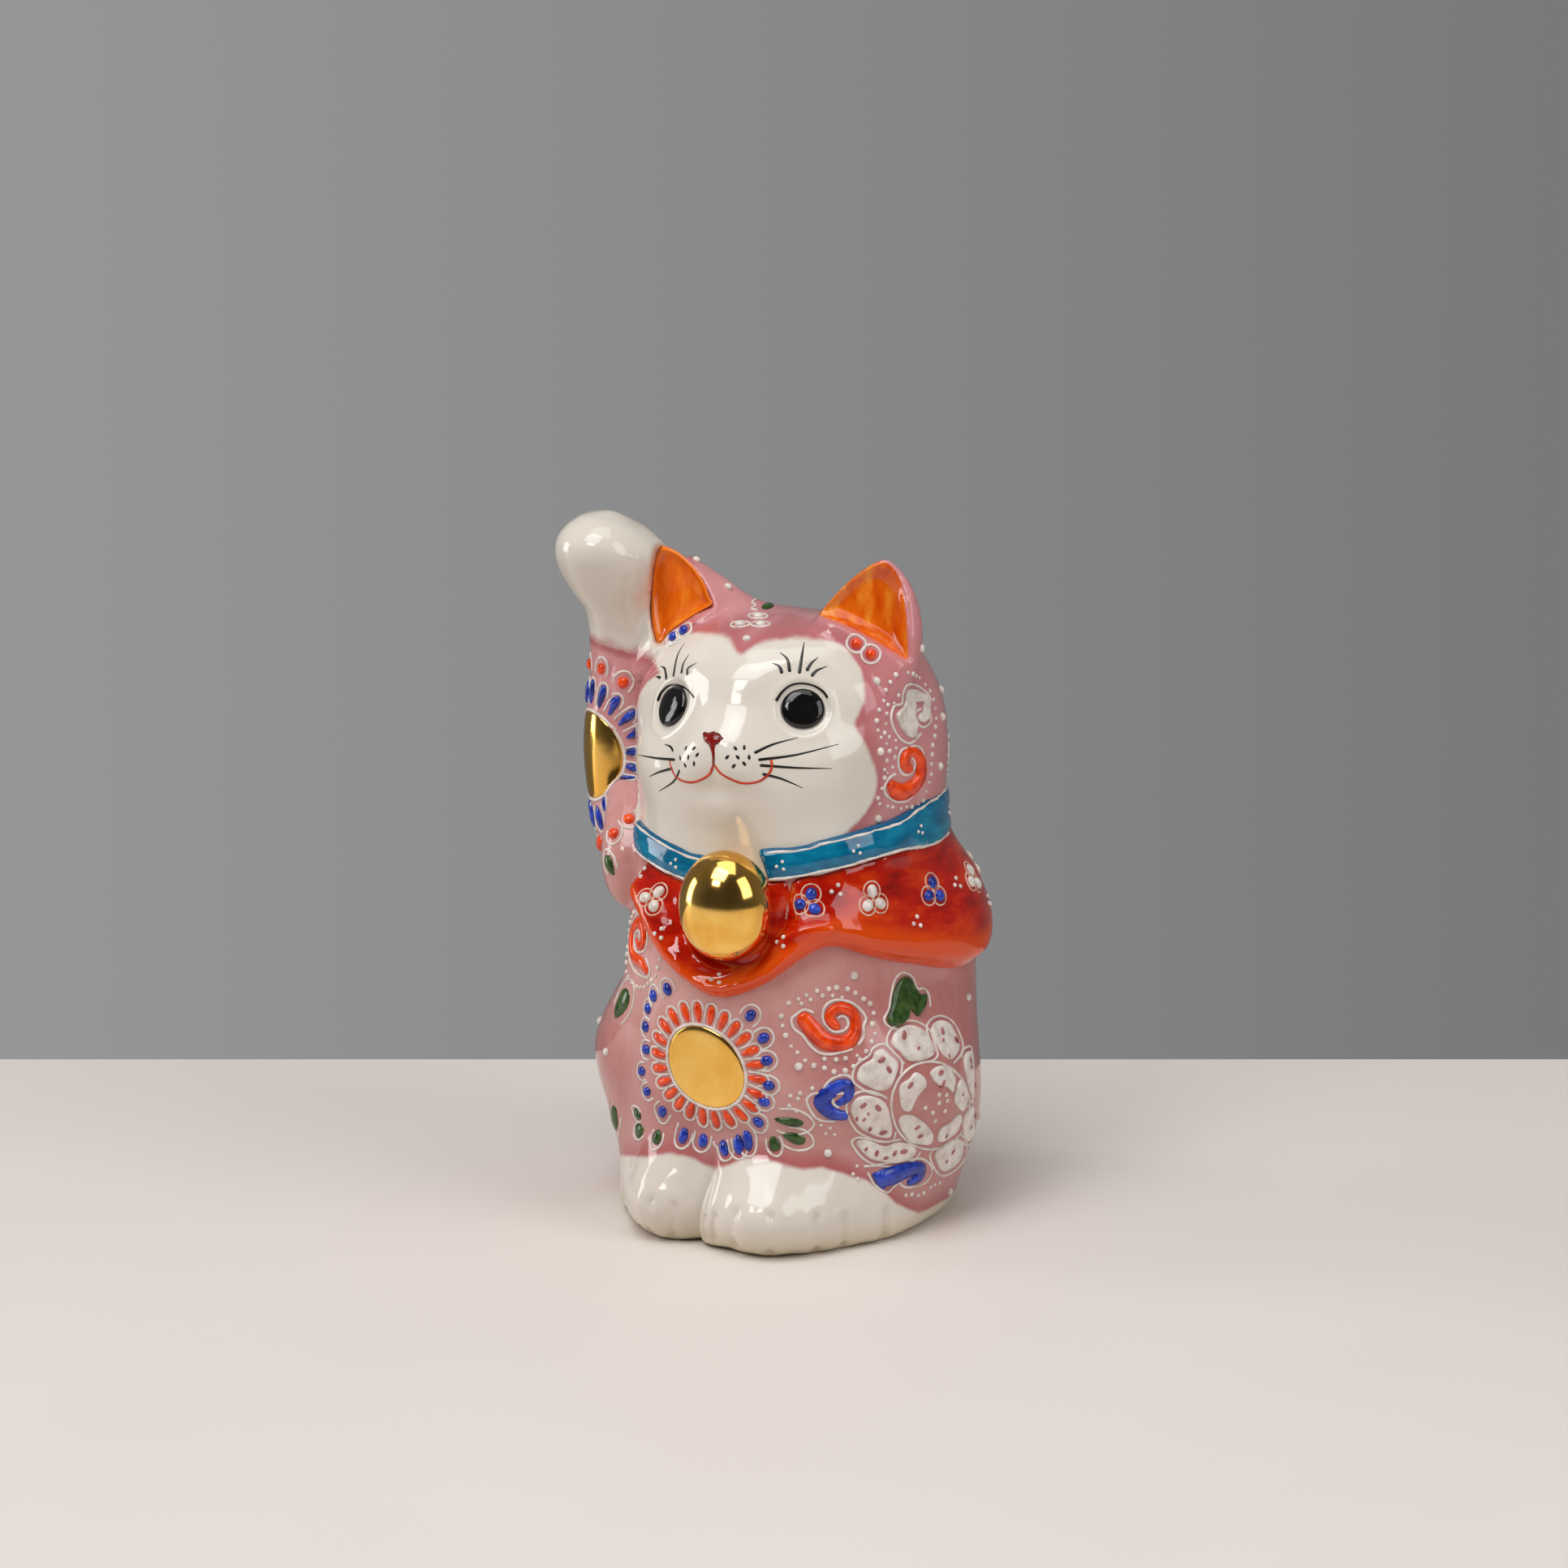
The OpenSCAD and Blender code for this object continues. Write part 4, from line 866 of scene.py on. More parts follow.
def bell_form():
    """A round bell, full above and below its middle, with the cleft of its mouth underneath."""
    bm = bmesh.new()
    bmesh.ops.create_uvsphere(bm, u_segments=96, v_segments=64, radius=1)
    for v in bm.verts:
        x, y, z = v.co
        full = 1 + 0.11 * (1 - z ** 2) * z ** 2 - 0.03 * z
        cleft = 0.05 * bump(x + 0.02, 0.05) * ramp(-z, 0.9, 0.99)
        round_form = (x * full * BELL_HALF[0], y * full * BELL_HALF[1], (z + cleft) * BELL_HALF[2])
        v.co = (Vector(round_form) + Vector(BELL_AT)) * MM
    return mesh_of(bm, "bell")


bib = bib_form()
show("bib", bib, red_glaze, "vermilion_glaze", "bib")
cloth = skin_of(bib)
band = collar_form()
show("collar", band, blue_glaze, "turquoise_enamel", "collar")
strap = skin_of(band)
show("bell", bell_form(), gilt, "gold_lustre", "bell")


# Raised enamel: pillows, patches and squeezed lines, laid on a skin

# From under a patch to its top: share of its outline, and share of its height
PATCH_PROFILE = ((0, -0.3), (0.98, -0.3), (1.0, 0.0), (0.98, 0.6), (0.92, 0.95), (0.8, 1.0), (0.6, 0.92),
                 (0.35, 0.9), (0, 0.9))
TRAIL_HALF, FINE_TRAIL_HALF, EDGE_TRAIL_HALF, RIM_TRAIL_HALF = 0.34, 0.3, 0.32, 0.42
relief = {}


def on_piece(name):
    """The bmesh and the lines that are gathered for a piece until it is laid."""
    return relief.setdefault(name, (bmesh.new(), []))


def pillow(name, place, u, v, wide, long, high, turn=0, taper=0.0, sides=16, rings=10, plump=1.0):
    """A pillow of enamel, long along its turn from up the skin and narrower at its foot."""
    bm = on_piece(name)[0]
    c, s = cos(radians(turn)), sin(radians(turn))
    for vert in bmesh.ops.create_uvsphere(bm, u_segments=sides, v_segments=rings, radius=1)["verts"]:
        a, b, h = vert.co
        a, b = a * wide * (1 + taper * b), b * long
        at, n = drape(place, u + a * c + b * s, v - a * s + b * c)
        vert.co = (at + n * copysign(abs(h) ** plump, h) * high) * MM


def patch(name, place, outline, high):
    """A flat-topped patch of enamel that fills a drawn outline."""
    bm = on_piece(name)[0]
    rim = np.array(through(outline, steps=4, closed=True)[:-1])
    middle = rim.mean(axis=0)
    rings = []
    for share, lift in PATCH_PROFILE:
        ring = middle + (rim - middle) * share if share else [middle]
        spots = [drape(place, *p) for p in ring]
        rings.append([bm.verts.new((at + n * lift * high) * MM) for at, n in spots])
    bridge(bm, rings)


def dot(name, place, u, v, r):
    """A round dot of enamel."""
    pillow(name, place, u, v, r, r, 0.75 * r, sides=8, rings=6)


def line(name, place, points, wide=0, flat=0.6, steps=5, closed=False):
    """A line of enamel through (u, v) points, or (u, v, half-width) where it swells."""
    path = [(drape(place, *p[:2])[0], p[2] if len(p) > 2 else wide) for p in through(points, steps, closed)]
    if not closed and len(points[0]) < 3:
        path[0] = (path[0][0], wide / 2)
        path[-1] = (path[-1][0], wide / 2)
    elif not closed:
        for end, beside in ((0, 1), (-1, -2)):
            at, wide = path[end]
            along = (at - path[beside][0]).normalized() * wide
            tip = [(at + along * 0.6, wide * 0.8), (at + along * 0.95, wide * 0.3)]
            path = tip[::-1] + path if end == 0 else path + tip
    on_piece(name)[1].append((path, flat, place.skin))


def piped(place, points, wide=TRAIL_HALF, flat=0.95, closed=False):
    """A white trail of even width."""
    line("white_trails", place, points, wide, flat, closed=closed)


def dotted(place, points, gap, r, seed, closed=False):
    """A row of dots of slightly uneven size along a line."""
    rng = Random(seed)
    spots = [drape(place, p[0], p[1])[0] for p in through(points, steps=12, closed=closed)]
    run = 0.0
    for a, b in zip(spots[:-1], spots[1:]):
        run += (b - a).length
        if run >= gap:
            run = 0.0
            dot("white_dots", seat_near(place.skin, b), rng.uniform(-0.25, 0.25), rng.uniform(-0.25, 0.25),
                r * rng.uniform(0.75, 1.15))


def lay(name, material, slot, *replaced):
    """Makes a piece of everything put on it, its lines pressed down on the skin."""
    bm, lines = relief.pop(name)
    for path, flat, skin in lines:
        thread = bpy.data.curves.new(name, "CURVE")
        thread.dimensions = "3D"
        thread.bevel_depth = MM
        thread.bevel_resolution = 1
        thread.use_fill_caps = True
        spline = thread.splines.new("POLY")
        spline.points.add(len(path) - 1)
        for point, (at, wide) in zip(spline.points, path):
            point.co = (*(at * MM), 1)
            point.radius = wide
        carrier = bpy.data.objects.new(name, thread)
        tube = bpy.data.meshes.new_from_object(carrier)
        for v in tube.vertices:
            at, n, *_ = skin.find_nearest(v.co / MM)
            v.co = (at + n * (v.co / MM - at).dot(n) * flat) * MM
        bm.from_mesh(tube)
        bpy.data.objects.remove(carrier)
        bpy.data.curves.remove(thread)
        bpy.data.meshes.remove(tube)
    bmesh.ops.remove_doubles(bm, verts=bm.verts, dist=0.003 * MM)
    bmesh.ops.recalc_face_normals(bm, faces=bm.faces)
    return show(name, mesh_of(bm, name), material, slot, *replaced)


def turned(points, turn=0, size=1.0, flip=1, to=(0, 0)):
    """A drawing turned, sized, mirrored and moved on its seat."""
    c, s = cos(radians(turn)), sin(radians(turn))
    return [(size * (flip * p[0] * c + p[1] * s) + to[0], size * (-flip * p[0] * s + p[1] * c) + to[1],
             *(q * size for q in p[2:])) for p in points]


def polar(radius, angle):
    """The u and v at a radius and an angle from up the skin."""
    return radius * sin(radians(angle)), radius * cos(radians(angle))


view_of_body = Seat(body, lambda x, y: seen(body, x, y))


# Face: eyes, lids, lashes, nose, mouth and whiskers, where the view shows them

EYE_WIDE, EYE_TALL, EYE_HIGH = 4.8, (4.5, 4.7), 1.7
LASH_WIDE, WHISKER_WIDE, MOUTH_WIDE = (0.42, 0.3, 0.08), (0.36, 0.26, 0.08), 0.33
LEFT_LID = ((957, 862, 0.4), (964, 852, 0.34), (975, 844, 0.28), (989, 842, 0.24), (1003, 845, 0.25),
            (1014, 852, 0.3), (1019, 859, 0.3))
RIGHT_LID = ((811, 862, 0.4), (815, 853, 0.34), (824, 845, 0.28), (835, 844, 0.26), (846, 849, 0.25),
             (855, 859, 0.2))
LASHES = (((963, 828), (960, 821), (952, 817)),
          ((973, 826), (970, 812), (961, 804)),
          ((985, 828), (988, 808), (991, 791)),
          ((995, 825), (1000, 817), (1008, 810)),
          ((1001, 832), (1007, 826), (1019, 821)),
          ((821, 836), (819, 824), (814, 821)),
          ((813, 835), (811, 834), (808, 834)),
          ((830, 832), (835, 807), (844, 792)),
          ((840, 828), (842, 818), (849, 806)),
          ((847, 830), (848, 823), (858, 817)))
NOSE = (((868, 904, 0.5), (872, 908, 1.3), (879, 910, 1.55), (886, 910, 1.2), (889, 910, 0.4)),
        ((878, 908, 1.4), (878, 915, 1.2), (878, 922, 0.6), (879, 930, 0.4), (879, 943, 0.34)))
MOUTH = (((879, 943), (874, 954), (863, 961), (849, 964), (835, 959), (828, 948), (825, 937)),
         ((880, 942), (887, 952), (898, 959), (915, 965), (934, 963), (946, 955), (951, 945), (950, 936)))
WHISKERS = (((931, 927), (953, 917), (983, 909)),
            ((936, 936), (981, 930), (1033, 917)),
            ((938, 943), (981, 946), (1025, 947)),
            ((941, 954), (964, 960), (989, 971)),
            ((829, 925), (826, 920), (819, 917)),
            ((831, 936), (808, 934), (786, 930)),
            ((828, 947), (813, 951), (800, 957)),
            ((837, 950), (830, 963), (812, 975)))
WHISKER_SPOTS = ((906, 922), (917, 921), (896, 933), (909, 933), (923, 933), (904, 944), (917, 941),
                 (845, 922), (855, 922), (838, 934), (848, 933), (859, 930), (844, 943), (855, 941))

for name, spot, tall in zip(("left_eye", "right_eye"), EYES_SEEN, EYE_TALL):
    pillow(name, seat_seen(body, *spot), 0, 0, EYE_WIDE, tall, EYE_HIGH, sides=40, rings=24, plump=0.9)
    lay(name, eye_enamel, "black_enamel", name)
for lid in (LEFT_LID, RIGHT_LID):
    line("lids", view_of_body, lid, flat=0.5)
for lash in LASHES:
    line("lashes", view_of_body, [(*p, wide) for p, wide in zip(lash, LASH_WIDE)], flat=0.4)
for stroke in NOSE:
    line("nose", view_of_body, stroke, flat=0.35)
for stroke in MOUTH:
    line("mouth", view_of_body, stroke, MOUTH_WIDE, 0.5)
for whisker in WHISKERS:
    line("whiskers", view_of_body, [(*p, wide) for p, wide in zip(whisker, WHISKER_WIDE)], flat=0.4, steps=8)
for i, spot in enumerate(WHISKER_SPOTS):
    pillow("whisker_spots", seat_seen(body, *spot), 0, 0, wide=0.36, long=0.62, high=0.14,
           turn=40 * (i % 3 - 1), sides=8, rings=6)
for name in ("lids", "lashes", "whisker_spots", "whiskers"):
    lay(name, black_enamel, "black_enamel")
lay("nose", nose_enamel, "red_enamel", "nose")
lay("mouth", rouge_enamel, "red_enamel")


# Suns

BELLY_SUN_SEEN, BELLY_SUN_HALF, BELLY_SUN_TILT, BELLY_PETALS = (868.5, 1315.5), (10.1, 8.4), 38, 24
BELLY_BEADS_SEEN = ((821, 1218), (801, 1224), (793, 1238), (790, 1261), (792, 1291), (785, 1318), (793, 1346),
                    (814, 1372), (842, 1398), (866, 1405), (893, 1412), (911, 1408), (923, 1404), (938, 1387),
                    (944, 1359), (950, 1338), (947, 1307), (943, 1279), (926, 1251))
PETAL_ARCH = ((-1.45, -2.7), (-1.55, 0.2), (-1.25, 2.2), (0, 3.0), (1.25, 2.2), (1.55, 0.2))
BEAD_ARCH = ((-2.2, -1.6), (-2.35, 0.5), (-1.5, 2.1), (0, 2.7), (1.5, 2.1), (2.35, 0.5), (2.2, -1.6))
FORELEG_SUN_AZ, FORELEG_SUN_Z, FORELEG_R, FORELEG_SUN_HALF = -38, 102, 9.5, (10.0, 9.8)
FORELEG_PETALS, FORELEG_BEADS, FORELEG_BEADS_R = 22, 18, 20.4
SUN_RIM, BELLY_PETAL_OFF = 0.45, 3.1
# Where a petal's middle stands off the disc, and its half-length
LONG_PETAL, SHORT_PETAL = (4.6, 2.8), (2.4, 1.8)
LOW_BEADS_SEEN = ((775, 1009, 140), (756, 1027, 155), (740, 1037, 175), (731, 1041, 185))


def sun_disc(gold, place, wide, tall, tilt):
    """A gilded disc in its white rim; gives its radius towards any angle."""
    pillow(gold, place, 0, 0, wide, tall, high=0.4, turn=tilt, sides=64, rings=24, plump=0.5)
    turns = [radians(q) for q in range(0, 360, 10)]
    rim = [(cos(a) * (wide + SUN_RIM), sin(a) * (tall + SUN_RIM)) for a in turns]
    piped(place, turned(rim, tilt), RIM_TRAIL_HALF, 0.8, closed=True)

    def radius(q):
        a = radians(q + 90 - tilt)
        return 1 / np.hypot(cos(a) / wide, sin(a) / tall)
    return radius


def arched(name, place, u, v, turn, wide, long, high, arch, size=1.0, taper=0.0):
    """A petal, leaf or bead under its white arch."""
    pillow(name, place, u, v, wide, long, high, turn=turn, taper=taper, sides=14, rings=10)
    piped(place, turned(arch, turn, size, to=(u, v)), FINE_TRAIL_HALF, 0.9)


def bead(name, place, u, v, turn, wide=1.2, long=1.3):
    """A bead of enamel under its arch."""
    arched(name, place, u, v, turn, wide, long, high=0.95, arch=BEAD_ARCH, size=0.95)


def under_bib(at):
    """Whether a point is covered by the bib's hem."""
    return cloth.find_nearest(at)[3] < 1.0


belly = seat_seen(body, *BELLY_SUN_SEEN)
radius = sun_disc("belly_sun", belly, *BELLY_SUN_HALF, BELLY_SUN_TILT)
for i in range(BELLY_PETALS):
    q = 360 * (i + 0.4) / BELLY_PETALS
    u, v = polar(radius(q) + BELLY_PETAL_OFF, q)
    if not under_bib(drape(belly, u, v)[0]):
        arched("belly_petals", belly, u, v, q, wide=0.85, long=2.3, high=0.7, arch=PETAL_ARCH, size=0.92,
               taper=0.35)
for x, y in BELLY_BEADS_SEEN:
    far = seen(body, x, y) - belly.at
    u, v = far.dot(belly.x), far.dot(belly.y)
    bead("belly_beads", belly, u, v, np.degrees(np.arctan2(u, v)), long=1.55)
lay("belly_sun", gilt, "gold_lustre", "belly_sun")
lay("belly_petals", red_enamel, "red_enamel", "belly_petals")
lay("belly_beads", blue_enamel, "cobalt_enamel", "belly_beads")

limb = skin_of(cast, lambda c: c.x < -29.5 and c.z > 70)
arm = seat_round(limb, FORELEG_AXIS, FORELEG_SUN_AZ, FORELEG_SUN_Z, FORELEG_R)


def on_limb(u, v):
    """Whether u, v of the foreleg's seat lies on the limb itself."""
    at = drape(arm, u, v)[0]
    return (at - arm.guess(u, v)).length < 2.5 and at.x < -31.5


radius = sun_disc("foreleg_sun", arm, *FORELEG_SUN_HALF, 0)
for i in range(FORELEG_PETALS):
    q = 360 * i / FORELEG_PETALS
    far, long = LONG_PETAL if on_limb(*polar(radius(q) + 7, q)) else SHORT_PETAL
    u, v = polar(radius(q) + far, q)
    if on_limb(u, v):
        arched("foreleg_petals", arm, u, v, q, wide=0.95, long=long, high=0.85, arch=PETAL_ARCH,
               size=1.1 * long / LONG_PETAL[1], taper=0.35)
for i in range(FORELEG_BEADS):
    q = 360 * (i + 0.5) / FORELEG_BEADS
    u, v = polar(FORELEG_BEADS_R, q)
    if on_limb(u, v) and not (v < -8 and u > -16):
        bead("foreleg_beads", arm, u, v, q)
for x, y, turn in LOW_BEADS_SEEN:
    bead("foreleg_beads", seat_seen(body, x, y), 0, 0, turn, wide=1.3, long=1.35)
lay("foreleg_sun", gilt, "gold_lustre", "foreleg_sun")
lay("foreleg_petals", blue_enamel, "cobalt_enamel", "foreleg_petals")
lay("foreleg_beads", red_enamel, "red_enamel", "foreleg_beads")


# Bib flowers, and the dots and piped edges of bib and collar

BIB_R, COLLAR_OUTER_R, COLLAR_DOTS_R = 44, 38, 36
BLUE_FLOWERS_SEEN = ((996, 1112, 20), (1150, 1098, 10))
WHITE_FLOWERS_SEEN = ((804, 1107, 30), (1076, 1109, 0), (1199, 1082, 20))
BLUE_FLOWERS_BEHIND = ((150, 78), (-150, 80))
WHITE_FLOWERS_BEHIND = ((130, 77), (180, 79))
BIB_DOTS_SEEN = ((789, 1075), (812, 1150), (883, 1206), (962, 1160), (1031, 1097), (1130, 1136))
BIB_DOTS_BEHIND = ((96, 80), (120, 69), (141, 80), (165, 73), (-165, 75), (-130, 84))
COLLAR_DOTS = (-17.6, 23.3, 50, 80.5, 112, 142, 172, -158, -128)
# The collar's white edges: how far above its middle, and half their width
COLLAR_EDGES = ((4.7, 0.28), (-3.6, 0.42))


def flower(name, place, turn=0):
    """Three petals, each in its own ring of slip."""
    for q in (0, 120, 240):
        u, v = polar(2.0, q + turn)
        pillow(name, place, u, v, wide=1.3, long=1.5, high=0.9, turn=q + turn)
        ring = [(u + a, v + b) for a, b in (polar(2.15, i * 30) for i in range(12))]
        line("bib_trails", place, ring, 0.22, 0.8, closed=True)


def three_dots(place, r=0.55, far=1.2):
    """Three white dots set in a triangle."""
    for q in (20, 140, 260):
        dot("white_dots", place, *polar(far, q), r)


for name, shown, behind in (("bib_blue_flowers", BLUE_FLOWERS_SEEN, BLUE_FLOWERS_BEHIND),
                            ("bib_white_flowers", WHITE_FLOWERS_SEEN, WHITE_FLOWERS_BEHIND)):
    for x, y, turn in shown:
        flower(name, seat_seen(cloth, x, y), turn)
    for az, z in behind:
        flower(name, seat(cloth, az, z, BIB_R))
for x, y in BIB_DOTS_SEEN:
    three_dots(seat_seen(cloth, x, y))
for az, z in BIB_DOTS_BEHIND:
    three_dots(seat(cloth, az, z, BIB_R))
lay("bib_blue_flowers", blue_enamel, "cobalt_enamel", "bib_blue_flowers")
lay("bib_white_flowers", white_enamel, "white_enamel", "bib_white_flowers")
lay("bib_trails", slip_enamel, "white_enamel")

for az in COLLAR_DOTS:
    three_dots(seat(strap, az, collar_mid(az) + collar_lift(az), COLLAR_DOTS_R), r=0.42, far=0.95)
round_neck = Seat(strap, lambda az, z: Vector((COLLAR_OUTER_R * sin(radians(az)),
                                               -COLLAR_OUTER_R * cos(radians(az)), z)))
for edge, wide in COLLAR_EDGES:
    points = []
    for turn in range(18, 355, 5):
        az = (turn + 180) % 360 - 180
        z = collar_mid(az) + collar_lift(az) + edge * collar_swell(az) + 0.2 * sin(turn)
        points.append((turn, z, wide + 0.1 * sin(1.7 * turn)))
    line("white_trails", round_neck, points, flat=0.7, steps=3)


# Scrolls

SCROLL = ((-6.0, 1.9, 1.4), (-4.1, 0.8, 1.7), (-2.2, -1.9, 1.8), (0.3, -3.5, 1.8), (4.1, -3.0, 1.7),
          (5.7, -0.8, 1.6), (6.0, 2.5, 1.5), (3.8, 4.4, 1.4), (0.5, 3.8, 1.3), (0, 1.4, 1.1),
          (1.9, 0.5, 0.7))
SCROLL_EDGE = ((-3.5, 3.4), (-6.5, 3.8), (-8.0, 2.5), (-7.6, 0.3), (-5.7, -3.0), (-3.0, -5.2), (0.3, -6.1),
               (5.2, -5.2), (6.8, -3.0), (7.6, -0.8), (8.4, 1.9), (7.4, 4.2), (5.7, 5.8), (3.0, 6.5),
               (0.3, 5.6), (-1.4, 3.8), (-1.4, 1.4), (-0.5, -0.7), (1.6, -1.3), (3.8, -0.3), (4.2, 1.6),
               (3.1, 2.7), (1.7, 2.2))
HOOK = ((2.5, -3.5, 1.3), (-0.8, -1.9, 1.6), (-3.0, -0.3, 1.6), (-0.8, 1.4, 1.6), (-0.1, 3.0, 1.4),
        (2.2, 3.8, 1.4), (4.4, 2.5, 1.3), (3.8, 0.3, 1.1), (1.9, -0.5, 0.8))
HOOK_EDGE = ((5.9, 2.8), (4.6, 5.1), (1.4, 5.8), (-1.5, 4.6), (-2.2, 2.4), (-4.0, 0.9), (-5.6, -0.8),
             (-4.8, -3.0), (-2.5, -4.6), (1.4, -5.3), (3.9, -4.5))
# Round the body and the back of the head: azimuth, height, radius, turn, size and hand
ROUND_SCROLLS = ((-35, 64, 40, 60, 0.9, -1), (-140, 112, 32, 20, 0.8, 1), (170, 108, 32, 0, 0.8, 1),
                 (-147, 53, 42, 30, 1, -1))
ROUND_HOOKS = ((-140, 20, 42, 0, 1, -1), (125, 104, 34, 30, 0.8, 1), (140, 20, 42, 20, 1, 1))
# Drawn as the view shows them: curls with their half-width, and what pipes them round
CURL_FULLNESS = 1.2
BELLY_CURL_SEEN = ((992, 1257, 1.58), (1002, 1269, 1.73), (1013, 1280, 1.68), (1027, 1285, 1.58),
                   (1043, 1284, 1.53), (1052, 1274, 1.32), (1054, 1260, 1.17), (1050, 1248, 1.12),
                   (1037, 1242, 1.17), (1025, 1248, 1.12), (1023, 1257, 1.07), (1030, 1264, 0.92))
BELLY_CURL_EDGES = (((1003, 1248), (991, 1244), (981, 1250), (975, 1256), (978, 1267), (989, 1276),
                     (998, 1288), (1009, 1297), (1023, 1299), (1039, 1296), (1051, 1292)),
                    ((1057, 1288), (1064, 1277), (1064, 1264), (1067, 1255), (1061, 1245), (1050, 1236),
                     (1034, 1232), (1022, 1235), (1015, 1243), (1014, 1255), (1018, 1264), (1027, 1271),
                     (1039, 1270), (1045, 1263), (1043, 1255), (1037, 1252), (1032, 1255)))
BLUE_CURL_SEEN = ((1039, 1375, 1.14), (1023, 1371, 1.42), (1012, 1358, 1.63), (1020, 1347, 1.58),
                  (1033, 1338, 1.32), (1044, 1337, 1.17), (1047, 1346, 1.07), (1043, 1354, 0.97),
                  (1034, 1359, 0.76))
BLUE_CURL_EDGES = (((1050, 1330), (1044, 1325), (1036, 1325), (1026, 1329), (1018, 1336), (1012, 1346),
                    (1001, 1348), (994, 1355), (998, 1367), (1005, 1377), (1015, 1381), (1030, 1381)),
                   ((1034, 1365), (1027, 1360), (1026, 1353), (1030, 1348), (1040, 1347)))
CLOUD_SEEN = (((1118, 849), (1125, 850), (1127, 856), (1126, 865), (1127, 872), (1125, 885), (1130, 895),
               (1128, 901), (1128, 907), (1123, 909), (1118, 907), (1112, 901), (1107, 892), (1104, 882),
               (1107, 876), (1112, 871), (1114, 865), (1115, 856)),
              ((1120, 849), (1127, 850), (1135, 855), (1140, 856), (1141, 862), (1135, 865), (1127, 865),
               (1123, 859)),
              ((1135, 858), (1140, 856), (1143, 865), (1144, 875), (1143, 885), (1138, 890), (1133, 889),
               (1130, 884), (1133, 879), (1136, 876), (1136, 867)))
CLOUD_EDGE = ((1135, 903), (1127, 912), (1120, 916), (1111, 912), (1104, 903), (1099, 892), (1098, 881),
              (1102, 870), (1111, 867), (1112, 856), (1116, 846), (1122, 843), (1130, 845), (1137, 850),
              (1143, 855), (1146, 862), (1145, 871), (1146, 880), (1146, 890), (1138, 896), (1132, 893),
              (1128, 886), (1128, 878), (1135, 873))
HEAD_CURL_SEEN = ((1099, 969, 1.3), (1105, 975, 1.8), (1115, 975, 1.8), (1125, 969, 1.8), (1133, 958, 1.8),
                  (1135, 946, 1.7), (1133, 936, 1.5), (1126, 927, 1.2), (1118, 929, 1.3), (1114, 937, 1.4),
                  (1117, 944, 1.2), (1122, 949, 0.8))
HEAD_CURL_EDGES = (((1104, 953), (1096, 958), (1090, 968), (1090, 977), (1095, 983), (1102, 987), (1110, 988),
                    (1118, 986), (1126, 978), (1135, 967), (1140, 954), (1141, 943), (1138, 933), (1135, 923),
                    (1127, 919), (1121, 921)),
                   ((1118, 921), (1111, 924), (1107, 933), (1107, 944), (1111, 953), (1117, 955), (1123, 952),
                    (1127, 944), (1126, 936), (1121, 932)))
FOOT_CURL_SEEN = (((1078, 1448, 0.8), (1087, 1451, 2.3), (1102, 1447, 2.5), (1120, 1441, 2.1),
                   (1133, 1440, 1.7), (1134, 1449, 1.5), (1121, 1456, 1.0)),
                  ((1087, 1452, 2.2), (1088, 1460, 1.4), (1087, 1465, 0.4)))
FOOT_CURL_EDGES = (((1069, 1444), (1077, 1459), (1092, 1469), (1101, 1462), (1107, 1457)),
                   ((1064, 1437), (1078, 1436), (1095, 1432), (1119, 1429), (1137, 1428), (1148, 1440),
                    (1140, 1457), (1119, 1463), (1109, 1458), (1113, 1451), (1123, 1448)))
# Rows of dots beside the curls: gap, radius, seed, whether the row closes, and its line
DOT_ROWS = ((2.1, 0.62, 3, True,
             ((963, 1243), (992, 1228), (1029, 1217), (1057, 1225), (1075, 1242), (1074, 1265), (1078, 1278),
              (1067, 1295), (1048, 1318), (1023, 1319), (998, 1310), (975, 1291), (966, 1266))),
            (2.2, 0.55, 4, False, ((974, 1242), (1005, 1229), (1032, 1227), (1043, 1230))),
            (2.4, 0.55, 5, False, ((1003, 1299), (1020, 1307), (1036, 1305), (1056, 1302))),
            (2.2, 0.55, 6, False, ((1010, 1333), (1000, 1342), (974, 1351), (972, 1364), (981, 1369))),
            (2.6, 0.5, 7, False, ((988, 1338), (982, 1359))),
            (1.7, 0.5, 8, False, ((1002, 1385), (1020, 1389), (1030, 1388))),
            (1.7, 0.5, 8, False, ((1008, 1398), (1020, 1398), (1028, 1397))),
            (2.0, 0.5, 9, False, ((1045, 1438), (1057, 1437), (1049, 1448), (1061, 1454))),
            (2.2, 0.55, 10, False, ((1107, 1473), (1121, 1472), (1135, 1471), (1143, 1463), (1159, 1457))),
            (1.9, 0.55, 11, True,
             ((1113, 828), (1100, 836), (1089, 860), (1081, 898), (1096, 921), (1090, 945), (1088, 965),
              (1082, 989), (1102, 996), (1118, 995), (1135, 989), (1143, 970), (1147, 953), (1148, 927),
              (1152, 899), (1153, 875), (1146, 853), (1131, 835))),
            (2.0, 0.5, 12, False,
             ((1106, 847), (1106, 862), (1093, 871), (1093, 889), (1089, 902), (1099, 910), (1106, 916),
              (1104, 927), (1101, 944), (1093, 953))))


def scroll(name, place, curl, edge, turn, size, flip):
    """A curl of enamel inside its white outline, which winds on into the curl."""
    line(name, place, turned(curl, turn, size, flip), flat=0.45)
    piped(place, turned(edge, turn, size, flip))


def halo(place, wide, tall, seed, gap=1.9, r=0.6, first=0, last=360):
    """A row of dots round a motif, from one angle to another."""
    ring = [polar(1, q) for q in range(first, last + 1, 20)]
    dotted(place, [(wide * a, tall * b) for a, b in ring], gap, r, seed)


